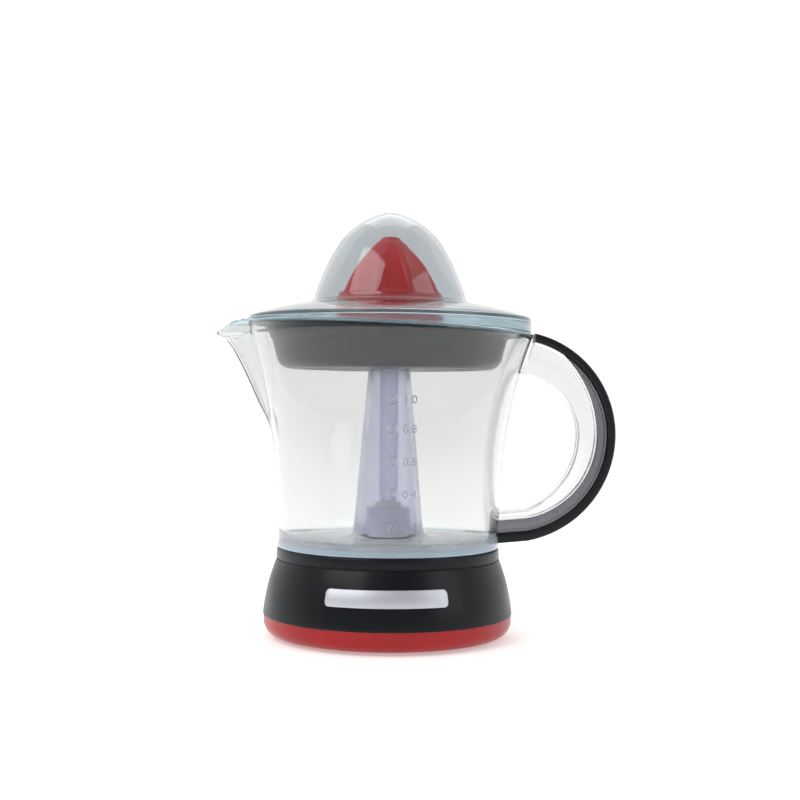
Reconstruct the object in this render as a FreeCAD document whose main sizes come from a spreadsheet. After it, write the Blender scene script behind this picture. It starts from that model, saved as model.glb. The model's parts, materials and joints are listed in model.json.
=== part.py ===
"""Citrus press juicer: base with geared motor, jug with handle, strainer, reamer and lid.

The origin is on the vertical axis of the juicer, in the plane that its feet rest on.
+Z is up, +X points to the handle and -X to the spout, and +Y to the rear. Millimetres.
"""
import FreeCAD, Part
import math
import os
import Sketcher

DOC = FreeCAD.newDocument("citrus_press")
V = FreeCAD.Vector
FULL_TURN = 360

# ---------------------------------------------------------------- driving dimensions
DRIVING = (
    # name, value, what it is
    ("gap", 0.3, "air between pieces that move apart"),
    ("fit_gap", 0.05, "radial clearance of a shaft in its bush"),
    ("seat_gap", 0.1, "radial clearance of a piece that is screwed or pushed into place"),
    # base
    ("foot_lift", 1.2, "height of the skirt above the table"),
    ("skirt_r", 68.3, "outer radius of the skirt"),
    ("skirt_top", 12.5, "height of the joint between skirt and housing"),
    ("skirt_corner", 8.0, "rounding of the skirt's lower edge"),
    ("shell_wall", 2.6, "wall of the skirt and of the housing"),
    ("tongue_tall", 3.0, "height of the skirt's tongue inside the housing"),
    ("tongue_inset", 1.3, "distance from the housing's inner edge in to the tongue"),
    ("housing_r", 68.8, "outer radius of the housing at its lower edge"),
    ("housing_mid_r", 66.3, "outer radius of the housing half way up its side"),
    ("shoulder_r", 61.5, "outer radius of the housing under its groove"),
    ("shoulder_z", 42.6, "height of the groove"),
    ("groove_tall", 0.8, "height of the groove"),
    ("groove_deep", 0.8, "depth of the groove"),
    ("deck_r", 61.2, "outer radius of the housing at its deck"),
    ("deck_z", 48.9, "height of the deck that the jug stands on"),
    ("deck_thick", 3.0, "thickness of the deck"),
    ("tower_r", 12.5, "outer radius of the drive tower on the deck"),
    ("tower_z", 70.8, "height of the tower's top"),
    ("foot_r", 7.0, "radius of a foot"),
    ("foot_ring", 51.0, "distance of the feet from the axis"),
    ("foot_sink", 1.0, "depth of the recess that holds a foot"),
    ("foot_band_r", 46.0, "radius of the rubber ring that joins the feet"),
    ("foot_band", 1.6, "half width of that ring"),
    ("boss_ring", 52.0, "distance of the base screws from the axis"),
    ("boss_r", 4.5, "radius of the bosses for the base screws"),
    ("screw_r", 1.5, "radius of the base and plate screws"),
    ("screw_head_r", 3.0, "radius of their heads"),
    ("screw_head_tall", 1.4, "height of their heads"),
    ("screw_bite", 9.0, "depth of a screw in its boss"),
    ("badge_half_turn", 28.0, "half of the angle that the badge plate spans"),
    ("badge_z", 29.0, "height of the middle of the badge plate"),
    ("badge_tall", 9.0, "height of the badge plate"),
    ("badge_thick", 0.7, "thickness of the badge plate"),
    # cord inlet
    ("inlet_z", 25.5, "height of the cord inlet"),
    ("inlet_r", 3.4, "radius of the hole that the cord passes"),
    ("inlet_neck_r", 5.4, "radius of the grommet's neck"),
    ("inlet_flange_r", 8.0, "radius of the grommet's flanges"),
    ("inlet_flange", 2.0, "thickness of the grommet's flanges"),
    ("inlet_face", 67.6, "distance of the inlet's flat face from the axis"),
    ("inlet_wall", 3.2, "wall between the grommet's flanges"),
    ("inlet_boss_r", 10.0, "radius of the flat boss round the inlet"),
    # gear train
    ("pressure_angle", 25.0, "pressure angle of both gear pairs, degrees"),
    ("fine_module", 0.8, "module of the first gear pair"),
    ("coarse_module", 1.0, "module of the second gear pair"),
    ("pinion_teeth", 12, "teeth of the motor pinion"),
    ("wheel_teeth", 40, "teeth of the compound gear's wheel"),
    ("small_teeth", 12, "teeth of the compound gear's pinion"),
    ("output_teeth", 48, "teeth of the output gear"),
    ("backlash", 0.16, "play between the flanks of meshed teeth"),
    ("motor_reach", 38.5, "distance of the motor's axis from the main axis"),
    ("plate_z", 28.5, "height of the gear plate's underside"),
    ("plate_thick", 1.5, "thickness of the gear plate"),
    ("plate_left", 30.0, "reach of the gear plate towards the spout side"),
    ("plate_right", 52.0, "reach of the gear plate towards the handle side"),
    ("plate_half", 28.0, "half width of the gear plate"),
    ("plate_corner", 8.0, "corner radius of the gear plate"),
    ("post_left", 24.0, "distance of the left posts from the main axis"),
    ("post_right", 46.0, "distance of the right posts from the main axis"),
    ("post_half", 22.0, "half distance between the posts"),
    ("post_r", 3.6, "radius of the posts that carry the gear plate"),
    ("wheel_z", 31.5, "height of the wheel's underside"),
    ("wheel_face", 3.0, "face width of the wheel"),
    ("small_face", 8.6, "face width of the compound gear's pinion"),
    ("axle_r", 1.5, "radius of the compound gear's axle"),
    ("axle_top", 44.9, "height of the axle's top"),
    ("output_z", 38.0, "height of the output gear's underside at rest"),
    ("output_face", 4.0, "face width of the output gear"),
    ("output_web", 2.2, "thickness of the output gear's web"),
    ("pinion_z", 30.9, "height of the motor pinion's underside"),
    ("pinion_face", 4.0, "face width of the motor pinion"),
    # motor
    ("stator_r", 22.0, "outer radius of the stator"),
    ("stator_ring", 4.0, "width of the stator's ring"),
    ("stator_z", 11.0, "height of the stator's underside"),
    ("stator_tall", 14.0, "height of the stator's stack"),
    ("pole_half_turn", 42.0, "half of the angle that a pole spans"),
    ("bore_r", 12.5, "radius of the stator's bore"),
    ("air_gap", 0.4, "gap between rotor and poles"),
    ("coil_tall", 19.4, "height of the coils"),
    ("coil_half_turn", 40.0, "half of the angle that a coil spans"),
    ("ear_r", 4.2, "radius of the stator's ears"),
    ("ear_reach", 23.5, "distance of the motor screws from the motor's axis"),
    ("motor_screw_r", 1.3, "radius of the motor screws"),
    ("motor_head_tall", 1.0, "height of the motor screws' heads"),
    ("spacer_r", 2.8, "outer radius of the motor spacers"),
    ("strap_z", 5.0, "height of the motor bracket's underside"),
    ("strap_thick", 1.6, "thickness of the motor bracket"),
    ("strap_half", 6.0, "half width of the motor bracket"),
    ("rotor_tall", 15.0, "height of the rotor's stack"),
    ("rotor_shaft_r", 1.6, "radius of the rotor's shaft"),
    ("bush_r", 3.6, "outer radius of the motor bushes"),
    ("bush_flange_r", 4.8, "radius of the motor bushes' collars"),
    ("bush_tall", 3.2, "length of the motor bushes"),
    # thrust cup, spring and switch
    ("press", 2.5, "travel of the drive when fruit is pressed on the cone"),
    ("well_r", 12.2, "outer radius of the spring well"),
    ("well_bore", 10.1, "inner radius of the spring well"),
    ("well_z", 14.0, "height of the well's top"),
    ("cup_wall", 1.8, "wall of the thrust cup"),
    ("cup_z", 9.0, "height of the thrust cup's lower edge"),
    ("cup_crown", 16.0, "height of the spring seat in the thrust cup"),
    ("cup_top", 19.6, "height of the thrust cup's top"),
    ("cup_rim_r", 6.2, "radius of the thrust cup's collar round the hub"),
    ("journal_r", 4.0, "radius of the hub's lower journal"),
    ("journal_sink", 1.8, "depth of the journal in the thrust cup"),
    ("arm_reach", 26.0, "reach of the arm that works the switch"),
    ("arm_half", 3.0, "half width of the arm"),
    ("arm_thick", 2.0, "thickness of the arm"),
    ("spring_r", 6.6, "mean radius of the return spring"),
    ("spring_wire", 0.6, "radius of the spring's wire"),
    ("spring_pitch", 2.3, "pitch of the spring"),
    ("switch_x", 23.0, "distance of the switch button from the axis"),
    ("switch_half_long", 6.5, "half length of the switch body"),
    ("switch_half_wide", 3.4, "half width of the switch body"),
    ("switch_top", 11.8, "height of the switch body's top"),
    ("button_r", 1.4, "radius of the switch button"),
    ("button_hold", 4.0, "length of the button inside the switch"),
    # drive hub and spindle
    ("hub_low_r", 5.0, "radius of the hub below the gear"),
    ("hub_seat_r", 6.0, "radius of the hub in the gear"),
    ("hub_r", 7.0, "radius of the hub in its upper bush"),
    ("hub_top", 73.6, "height of the hub's top"),
    ("hub_bush_z", 62.0, "height of the hub bush's underside"),
    ("tower_bore", 9.6, "radius of the tower's bore"),
    ("hex_flats", 7.6, "width across the flats of the drive sockets"),
    ("socket_z", 57.0, "height of the socket's floor in the hub"),
    ("spindle_r", 5.0, "radius of the spindle"),
    ("spindle_low", 58.6, "height of the spindle's lower end"),
    ("spindle_round_low", 77.4, "height where the spindle turns round"),
    ("spindle_flange_r", 8.4, "radius of the flange that hangs the spindle in the column"),
    ("spindle_flange", 2.0, "thickness of that flange"),
    ("hang_gap", 3.2, "air under the spindle's flange while the jug stands on the base"),
    ("spindle_top", 203.0, "height of the spindle's top"),
    # jug
    ("jug_wall", 2.5, "wall of the jug"),
    ("jug_floor", 4.6, "thickness of the jug's floor"),
    ("jug_foot_r", 61.0, "outer radius of the jug's foot"),
    ("jug_low_r", 60.4, "outer radius above the foot"),
    ("jug_low_z", 56.0, "height above the foot"),
    ("jug_waist_r", 63.5, "outer radius at the jug's waist"),
    ("jug_waist_z", 100.0, "height of the jug's waist"),
    ("jug_flare_r", 69.6, "outer radius where the flare is half done"),
    ("jug_flare_z", 135.0, "height where the flare is half done"),
    ("jug_rim_r", 79.3, "outer radius of the jug's rim"),
    ("jug_flare_top", 166.0, "height where the flare ends"),
    ("rim_z", 170.0, "height of the rim plane on the axis"),
    ("rim_tilt", 2.3, "tilt of the rim plane, lower at the handle, degrees"),
    ("column_low_r", 18.9, "outer radius of the column near the floor"),
    ("column_low_z", 60.0, "height where the column's foot flares"),
    ("column_foot_r", 25.0, "outer radius of the column's foot"),
    ("column_top_r", 10.6, "outer radius of the column's top"),
    ("column_top", 158.0, "height of the column's top"),
    ("column_wall", 2.2, "wall of the column"),
    ("column_cap", 2.4, "thickness of the column's cap"),
    # spout
    ("spout_tip", 96.4, "reach of the spout's tip"),
    ("spout_tip_z", 166.9, "height of the spout's tip"),
    ("spout_neck", 91.6, "reach of the spout under its lip"),
    ("spout_neck_z", 164.6, "height under the lip"),
    ("spout_mid", 72.6, "reach of the spout half way down"),
    ("spout_mid_z", 129.0, "height half way down the spout"),
    ("spout_root", 62.7, "reach of the spout's lowest section, inside the wall"),
    ("spout_root_r", 59.0, "radius of the crease there"),
    ("spout_root_z", 101.0, "height where the spout fades out"),
    ("spout_nose", 3.4, "half width of the spout's nose"),
    ("spout_swell", 1.0, "how far the wall bulges at the spout's middle section"),
    ("spout_nose_deep", 1.6, "depth of the nose's rounding"),
    ("spout_turn", 21.3, "angle between the spout's middle and its crease at the rim, degrees"),
    ("spout_mid_turn", 13.3, "that angle half way down the spout"),
    ("spout_root_turn", 6.0, "that angle at the spout's lowest section"),
    ("spout_blend", 0.4, "share of the spout's side that reaches on into the wall"),
    # handle
    ("handle_half", 9.0, "half width of the handle"),
    ("handle_root", 58.6, "distance of the handle's root from the axis, inside the wall"),
    ("grip_top_x", 80.2, "where the grip's upper end stands"),
    ("grip_top_z", 167.2, "height of the grip's upper end"),
    ("grip_reach", 124.6, "reach of the grip"),
    ("grip_mid_z", 111.5, "height of the grip's furthest point"),
    ("grip_foot_x", 76.5, "where the handle's bows run into their straight feet"),
    ("grip_foot_z", 53.2, "height of the grip's underside there"),
    ("foot_fall", 1.6, "fall of the straight feet towards the jug"),
    ("grip_band", 4.8, "width of the grip's black band"),
    ("grip_foot_band", 5.5, "width of the black band at its foot"),
    ("insert_band", 5.6, "width of the handle insert"),
    ("insert_foot_band", 7.0, "width of the insert at its foot"),
    ("clear_band", 9.7, "width of the clear band"),
    ("clear_foot_band", 4.4, "width of the clear band at its foot"),
    ("insert_tip_x", 97.0, "where the insert comes to a point"),
    ("insert_tip_z", 154.2, "height of that point"),
    ("finger_top_x", 73.4, "where the finger gap's upper corner lies"),
    ("finger_top_z", 144.6, "height of the finger gap's upper corner"),
    # strainer
    ("sieve_wall", 1.8, "wall of the strainer"),
    ("sieve_floor_z", 146.9, "height of the strainer's underside"),
    ("sieve_floor_r", 57.0, "radius of the strainer's flat floor"),
    ("sieve_low_r", 62.6, "outer radius of the strainer's lower wall"),
    ("sieve_low_z", 154.4, "height where its corner ends"),
    ("sieve_high_r", 65.0, "outer radius of the strainer's upper wall"),
    ("sieve_high_z", 164.0, "height where its wall begins to flare"),
    ("sieve_mouth_r", 69.0, "outer radius of the strainer's mouth"),
    ("sieve_flange_r", 76.0, "radius of the strainer's flange"),
    ("sieve_flange", 1.7, "thickness of the strainer's flange"),
    ("chimney_bore", 12.4, "radius of the strainer's central bore"),
    ("chimney_wall", 1.8, "wall round that bore"),
    ("chimney_z", 159.6, "height of the central wall"),
    ("slot_wide", 1.6, "width of a strainer slot"),
    ("slot_in_r", 22.0, "inner end of the slots"),
    ("slot_out_r", 50.0, "outer end of the slots"),
    ("slot_count", 36, "number of slots"),
    # reamer
    ("cone_r", 30.0, "greatest radius of the reamer"),
    ("cone_skirt_z", 166.5, "height of the reamer's lower edge"),
    ("cone_swell_z", 176.0, "height of its greatest radius"),
    ("cone_mid_r", 22.0, "radius of the reamer's core half way up"),
    ("cone_mid_z", 197.0, "height half way up"),
    ("cone_tip_r", 3.0, "radius of the blunt tip"),
    ("cone_top", 221.0, "height of the reamer's tip"),
    ("cone_wall", 2.2, "wall of the reamer"),
    ("cone_socket_r", 7.2, "outer radius of the reamer's drive socket"),
    ("rib_count", 8, "number of ribs"),
    ("rib_half", 1.3, "half thickness of a rib"),
    ("rib_proud", 2.0, "height of the ribs above the core"),
    # lid
    ("lid_wall", 1.8, "wall of the lid"),
    ("lid_top", 233.2, "height of the lid's top"),
    ("lid_flat_r", 4.5, "radius of the flat spot on top"),
    ("lid_high_r", 28.0, "radius of the dome high up"),
    ("lid_high_z", 217.0, "height there"),
    ("lid_neck_r", 41.5, "radius of the dome's foot"),
    ("lid_neck_z", 188.0, "height of the dome's foot"),
    ("lid_brim_r", 47.5, "radius where the brim begins"),
    ("lid_brim_z", 182.6, "height where the brim begins"),
    ("lid_edge_r", 78.0, "radius of the lid's edge"),
    ("lid_edge_z", 175.2, "height of the lid's upper edge"),
    ("vent_off", 6.0, "distance of a floor vent from the spring well"),
    ("vent_long", 14.0, "length of a floor vent"),
    ("vent_half", 1.0, "half width of a floor vent"),
    ("vent_count", 12, "number of floor vents"),
    ("screw_room", 2.0, "free depth of a hole past its screw's end"),
    ("inlet_clear", 4.0, "how far the seat's cutter stands out of the inlet's face"),
    ("inlet_relief", 6.0, "depth cleared behind the inlet for the grommet's inner lip"),
    ("inlet_taper", 1.0, "how much the grommet's lips narrow"),
    ("hub_clear", 1.0, "running gap between the hub and the gear plate"),
    ("bush_flange", 1.0, "thickness of a motor bush's collar"),
    ("shaft_end", 0.8, "how far the rotor shaft stands out under the bracket"),
    ("clip_wide", 1.6, "width of the axle's clip"),
    ("clip_thick", 0.6, "thickness of the axle's clip"),
    ("gear_rim", 3.5, "depth of the output gear's rim from its pitch circle"),
    ("gear_boss", 3.0, "thickness of the output gear's boss"),
    ("rim_stock", 14.0, "extra wall above the flare, cut off by the tilted rim"),
    ("jug_bend", 4.0, "reach of the bend between the jug's floor and wall"),
    ("jug_bend_mid", 1.2, "offset of that bend's middle"),
    ("column_flare", 3.0, "widening of the column's foot through the floor"),
    ("column_bend_out", 1.6, "the column foot's bend, outwards"),
    ("column_bend_up", 2.2, "the column foot's bend, upwards"),
    ("column_bend_top", 2.0, "height of the bend's end above the column's low mark"),
    ("spout_lip", 0.6, "how far the level cut runs past the spout's tip"),
    ("lip_dip_out", 0.8, "bow of the rim towards the spout, outwards"),
    ("lip_dip_up", 1.6, "bow of the rim towards the spout, upwards"),
    ("clear_root_low", 6.0, "reach of the clear band's upper root, lower corner"),
    ("clear_root_high", 8.0, "reach of the clear band's upper root, upper corner"),
    ("clear_drop", 0.6, "drop of the clear band's root under the grip"),
    ("insert_recess", 0.4, "how far the insert lies in from the grip's sides"),
    ("sieve_stock", 8.0, "extra wall above the rim, cut off by the tilted rim"),
    ("sieve_bend_in", 1.8, "the bowl's lower bend, inwards"),
    ("sieve_bend_up", 3.0, "the bowl's lower bend, upwards"),
    ("sieve_throat", 8.0, "height over which the bowl opens to its mouth"),
    ("sheet_over", 6.0, "how far the flange's sheet runs past its edge before the cut"),
    ("throat_in", 4.0, "how far the flange's opening narrows below the bowl's top"),
    ("throat_low", 6.0, "how far that opening's cutter starts below the bowl's top"),
    ("rib_root_drop", 16.0, "drop of a rib's inner end below the cone's middle"),
    ("rib_bury", 1.0, "how far a rib's foot lies in the cone's wall"),
    ("rib_tip_out", 0.4, "how far a rib stands out at the cone's tip"),
    ("rib_tip_drop", 0.6, "how far a rib ends below the cone's tip"),
    ("hollow_rise", 6.0, "height of the cone's hollow above the cone's middle"),
    ("hollow_drop", 3.0, "how far the hollow's bend lies below the cone's"),
    ("lid_stock", 12.0, "extra edge below the rim, cut off by the tilted rim"),
    ("crown_share", 0.64, "where the dome's upper bend lies, as a share of its high radius"),
    ("crown_rise", 9.8, "height of the dome's upper bend above its high mark"),
    ("dome_bow", 1.2, "bow of the dome's side"),
    ("brim_bend_out", 1.9, "bend between dome and brim, outwards"),
    ("brim_bend_up", 1.6, "bend between dome and brim, upwards"),
    ("brim_bow", 0.9, "bow of the brim"),
    ("crown_inner", 0.85, "the wall's upright share at the dome's upper bend"),
)

BEYOND = 1  # how far a cut or a hidden join runs past a face, mm
FAR_OUT = 20  # how far a big cutter reaches past the piece it cuts, mm
BOW_MARGIN = 12  # how far the far corners of a bow's outline lie outside it, mm


class Size:
    """A size worked out from the sheet: its number, and the expression that binds it."""

    def __init__(self, value, text):
        self.value = float(value)
        self.text = text

    def _with(self, sign, other, value, swap=False):
        other = as_size(other)
        first, second = (other, self) if swap else (self, other)
        return Size(value(first.value, second.value), f"({first.text} {sign} {second.text})")

    def __add__(self, other):
        return self._with("+", other, lambda a, b: a + b)

    __radd__ = __add__

    def __sub__(self, other):
        return self._with("-", other, lambda a, b: a - b)

    def __rsub__(self, other):
        return self._with("-", other, lambda a, b: a - b, swap=True)

    def __mul__(self, other):
        return self._with("*", other, lambda a, b: a * b)

    __rmul__ = __mul__

    def __truediv__(self, other):
        return self._with("/", other, lambda a, b: a / b)

    def __neg__(self):
        return Size(-self.value, f"(0 - {self.text})")


def as_size(number):
    return number if isinstance(number, Size) else Size(number, repr(number))


def sine(angle):
    return Size(math.sin(math.radians(angle.value)), f"sin({angle.text} * 1 deg)")


def cosine(angle):
    return Size(math.cos(math.radians(angle.value)), f"cos({angle.text} * 1 deg)")


def root(size):
    return Size(math.sqrt(size.value), f"sqrt({size.text})")


class Sizes:
    """The spreadsheet of driving dimensions, read by name."""

    def __init__(self):
        self.sheet = DOC.addObject("Spreadsheet::Sheet", "sizes")
        self.found = {}
        for row, (name, value, note) in enumerate(DRIVING, start=1):
            self.sheet.set(f"A{row}", name)
            self.sheet.set(f"B{row}", str(value))
            self.sheet.setAlias(f"B{row}", name)
            self.sheet.set(f"C{row}", note)
            self.found[name] = Size(value, f"sizes.{name}")

    def __getattr__(self, name):
        return self.found[name]


D = Sizes()

# ---------------------------------------------------------------- how pieces are made


class Mid:
    """Marks that the next stretch of an outline is an arc through this point."""

    def __init__(self, u, v):
        self.u = as_size(u)
        self.v = as_size(v)


def origin_plane(body, role):
    return next(item for item in body.Origin.OriginFeatures if item.Role == role)


def bind(thing, prop, size):
    """Sets a property from a size and keeps it bound to the sheet."""
    size = as_size(size)
    setattr(thing, prop, size.value)
    thing.setExpression(prop, size.text)


def fix(sketch, kind, geometry, point, size):
    size = as_size(size)
    index = sketch.addConstraint(Sketcher.Constraint(kind, geometry, point, size.value))
    sketch.setExpression(f"Constraints[{index}]", size.text)


def new_sketch(body, name, role, offset=None):
    """A sketch on one of the body's own origin planes, moved along the plane's normal."""
    sketch = body.newObject("Sketcher::SketchObject", name)
    sketch.AttachmentSupport = [(origin_plane(body, role), "")]
    sketch.MapMode = "FlatFace"
    if offset is not None:
        sketch.AttachmentOffset = FreeCAD.Placement(V(0, 0, offset.value), FreeCAD.Rotation())
        sketch.setExpression("AttachmentOffset.Base.z", offset.text)
    return sketch


def outline(sketch, points):
    """Draws a closed outline. Each corner is (u, v); a Mid before a corner bends that side."""
    corners = []
    mids = {}
    for item in points:
        if isinstance(item, Mid):
            mids[len(corners) - 1] = item
        else:
            corners.append((as_size(item[0]), as_size(item[1])))
    starts = []
    ends = []
    bends = []
    for number, (u, v) in enumerate(corners):
        far_u, far_v = corners[(number + 1) % len(corners)]
        start = V(u.value, v.value, 0)
        end = V(far_u.value, far_v.value, 0)
        mid = mids.get(number)
        if mid is None:
            side = sketch.addGeometry(Part.LineSegment(start, end), False)
            turned = False
        else:
            through = V(mid.u.value, mid.v.value, 0)
            turned = (through - start).cross(end - through).z < 0
            arc = Part.Arc(end, through, start) if turned else Part.Arc(start, through, end)
            side = sketch.addGeometry(arc, False)
            bends.append((side, mid, through))
        starts.append((side, 2 if turned else 1))
        ends.append((side, 1 if turned else 2))
    for number in range(len(corners)):
        following = (number + 1) % len(corners)
        sketch.addConstraint(Sketcher.Constraint("Coincident", *ends[number], *starts[following]))
    for (side, point), (u, v) in zip(starts, corners):
        fix(sketch, "DistanceX", side, point, u)
        fix(sketch, "DistanceY", side, point, v)
    for side, mid, through in bends:
        helper = sketch.addGeometry(Part.Point(through), True)
        sketch.addConstraint(Sketcher.Constraint("PointOnObject", helper, 1, side))
        fix(sketch, "DistanceX", helper, 1, mid.u)
        fix(sketch, "DistanceY", helper, 1, mid.v)


def circle(sketch, u, v, radius):
    u, v, radius = as_size(u), as_size(v), as_size(radius)
    ring = Part.Circle(V(u.value, v.value, 0), V(0, 0, 1), radius.value)
    side = sketch.addGeometry(ring, False)
    fix(sketch, "DistanceX", side, 3, u)
    fix(sketch, "DistanceY", side, 3, v)
    index = sketch.addConstraint(Sketcher.Constraint("Radius", side, radius.value))
    sketch.setExpression(f"Constraints[{index}]", radius.text)


def box_points(left, low, right, high):
    return [(left, low), (right, low), (right, high), (left, high)]


def new_body(name):
    body = DOC.addObject("PartDesign::Body", name)
    body.Label = name
    return body


def turn(body, name, points, cut=False, role="XZ_Plane", angle=None):
    """Turns an outline about the sketch's vertical axis, adding to the body or cutting it."""
    sketch = new_sketch(body, name + "_outline", role)
    outline(sketch, points)
    kind = "PartDesign::Groove" if cut else "PartDesign::Revolution"
    feature = body.newObject(kind, name)
    feature.Profile = sketch
    feature.ReferenceAxis = (sketch, ["V_Axis"])
    if angle is None:
        feature.Angle = FULL_TURN
    else:
        bind(feature, "Angle", angle)
        feature.Midplane = True
    return feature


def extrude(body, name, draw, low, high, role="XY_Plane", cut=False):
    """Pads or cuts what draw puts on a sketch, from low to high along the plane's normal."""
    low = as_size(low)
    sketch = new_sketch(body, name + "_outline", role, low)
    draw(sketch)
    kind = "PartDesign::Pocket" if cut else "PartDesign::Pad"
    feature = body.newObject(kind, name)
    feature.Profile = sketch
    bind(feature, "Length", as_size(high) - low)
    if cut:
        feature.Reversed = True
    return feature


def through(body, name, draw, half, role="XZ_Plane", cut=False):
    """Pads or cuts an outline by half to both sides of its plane."""
    sketch = new_sketch(body, name + "_outline", role)
    draw(sketch)
    kind = "PartDesign::Pocket" if cut else "PartDesign::Pad"
    feature = body.newObject(kind, name)
    feature.Profile = sketch
    feature.Midplane = True
    bind(feature, "Length", as_size(half) * 2)
    return feature


def loft(body, name, sections, cut=False):
    """Joins outlines at rising heights; sections is a list of (height, points)."""
    sketches = []
    for number, (height, points) in enumerate(sections):
        sketch = new_sketch(body, f"{name}_{number}", "XY_Plane", as_size(height))
        outline(sketch, points)
        sketches.append(sketch)
    kind = "PartDesign::SubtractiveLoft" if cut else "PartDesign::AdditiveLoft"
    feature = body.newObject(kind, name)
    feature.Profile = sketches[0]
    feature.Sections = sketches[1:]
    feature.Ruled = True
    return feature


def around(body, name, feature, count):
    """Repeats a feature evenly about the vertical axis."""
    pattern = body.newObject("PartDesign::PolarPattern", name)
    pattern.Originals = [feature]
    pattern.Axis = (feature.Profile[0], ["N_Axis"])
    pattern.Angle = FULL_TURN
    pattern.Occurrences = int(as_size(count).value)
    pattern.setExpression("Occurrences", as_size(count).text)
    body.Tip = pattern
    return pattern


def ring_points(inner, low, outer, high):
    """The outline of a plain ring or sleeve."""
    return box_points(inner, low, outer, high)


def polar(distance, degrees):
    """A point at a distance from the axis, in a direction given in degrees."""
    angle = math.radians(degrees)
    return as_size(distance) * math.cos(angle), as_size(distance) * math.sin(angle)


def hexagon(flats):
    """A hexagon's corners, from its width across the flats."""
    corner = as_size(flats) / math.sqrt(3)
    return [polar(corner, 60 * step) for step in range(6)]


def moved(shape, x=0.0, y=0.0, z=0.0, spin=0.0):
    """A shape placed by hand, turned about its own vertical axis first."""
    shape.Placement = FreeCAD.Placement(V(x, y, z), FreeCAD.Rotation(V(0, 0, 1), spin))
    return shape


# ---------------------------------------------------------------- gears


def involute(base, radius):
    """The polar angle of an involute at a radius, counted from its root on the base circle."""
    ratio = max(radius / base, 1.0)
    return math.sqrt(ratio * ratio - 1) - math.acos(1 / ratio)


def gear_wire(teeth, module, height):
    """The closed outline of a spur gear, with a tooth centred on +X."""
    pressure = math.radians(D.pressure_angle.value)
    pitch = module * teeth / 2
    base = pitch * math.cos(pressure)
    tip = pitch + module * 0.95
    foot = pitch - module * 1.2
    thin = D.backlash.value / 4 / pitch
    half = math.pi / (2 * teeth) - thin + involute(base, pitch)
    low = max(base, foot)
    steps = 6
    radii = [low + (tip - low) * step / steps for step in range(steps + 1)]
    flank = [(radius, half - involute(base, radius)) for radius in radii]
    edges = []
    spot = lambda radius, angle: V(radius * math.cos(angle), radius * math.sin(angle), height)
    space = 2 * math.pi / teeth
    for tooth in range(teeth):
        middle = tooth * space
        rising = [spot(radius, middle - angle) for radius, angle in flank]
        falling = [spot(radius, middle + angle) for radius, angle in reversed(flank)]
        edges.append(Part.LineSegment(spot(foot, middle - half), rising[0]).toShape())
        for line in (rising, falling):
            curve = Part.BSplineCurve()
            curve.interpolate(line)
            edges.append(curve.toShape())
            if line is rising:
                edges.append(Part.Arc(rising[-1], spot(tip, middle), falling[0]).toShape())
        edges.append(Part.LineSegment(falling[-1], spot(foot, middle + half)).toShape())
        root_mid = spot(foot, middle + space / 2)
        root_end = spot(foot, middle + space - half)
        edges.append(Part.Arc(spot(foot, middle + half), root_mid, root_end).toShape())
    return Part.Wire(edges)


def gear_solid(teeth, module, low, face, bore):
    """A spur gear with a round bore."""
    disc = Part.Face(gear_wire(int(teeth), module, low)).extrude(V(0, 0, face))
    return disc.cut(Part.makeCylinder(bore, face, V(0, 0, low)))


def solid_feature(name, shape, x=0.0, y=0.0, spin=0.0):
    """A sub-part whose toothed shape is worked out from the sheet's numbers."""
    feature = DOC.addObject("Part::Feature", name)
    feature.Label = name
    feature.Shape = shape
    feature.Placement = FreeCAD.Placement(V(x, y, 0), FreeCAD.Rotation(V(0, 0, 1), spin))
    return feature


# ---------------------------------------------------------------- shared places

FINE_PITCH = (D.pinion_teeth + D.wheel_teeth) * D.fine_module / 2
COARSE_PITCH = (D.small_teeth + D.output_teeth) * D.coarse_module / 2
# the compound gear stands where its two pitch distances from motor and main axis meet
COMPOUND_X = (
    (COARSE_PITCH * COARSE_PITCH + D.motor_reach * D.motor_reach - FINE_PITCH * FINE_PITCH)
    / (2 * D.motor_reach)
)
COMPOUND_Y = root(COARSE_PITCH * COARSE_PITCH - COMPOUND_X * COMPOUND_X)

SKIRT_FLOOR = D.foot_lift + D.shell_wall
DECK_UNDER = D.deck_z - D.deck_thick
PLATE_TOP = D.plate_z + D.plate_thick
JUG_Z = D.deck_z + D.gap
JUG_FLOOR = JUG_Z + D.jug_floor
FLANGE_Z = D.column_top + D.hang_gap
STATOR_TOP = D.stator_z + D.stator_tall
COIL_Z = D.stator_z + D.stator_tall / 2 - D.coil_tall / 2
ARM_Z = D.cup_top - D.arm_thick
BUTTON_TOP = ARM_Z - D.gap
FOOT_ANGLES = (30, 150, 210, 330)
BOSS_ANGLES = (60, 120, 240, 300)
TILT = sine(D.rim_tilt) / cosine(D.rim_tilt)


def rim_height(x, below=0):
    """Height of the tilted rim plane at x, less a drop."""
    return D.rim_z - TILT * x - below


def posts():
    return [
        (side, way * D.post_half)
        for side in (-D.post_left, D.post_right)
        for way in (-1, 1)
    ]


def motor_holes():
    return [(D.motor_reach, way * D.ear_reach) for way in (-1, 1)]


def circles(places, radius):
    """A drawing function: one circle at each place."""

    def draw(sketch):
        for u, v in places:
            circle(sketch, u, v, radius)

    return draw


def closed(points):
    """A drawing function: one closed outline."""
    return lambda sketch: outline(sketch, points)


def hollow(points, holes):
    """A drawing function: a closed outline with round holes, each (u, v, radius)."""

    def draw(sketch):
        outline(sketch, points)
        for u, v, radius in holes:
            circle(sketch, u, v, radius)

    return draw


# ---------------------------------------------------------------- base: shells and fasteners


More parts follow.
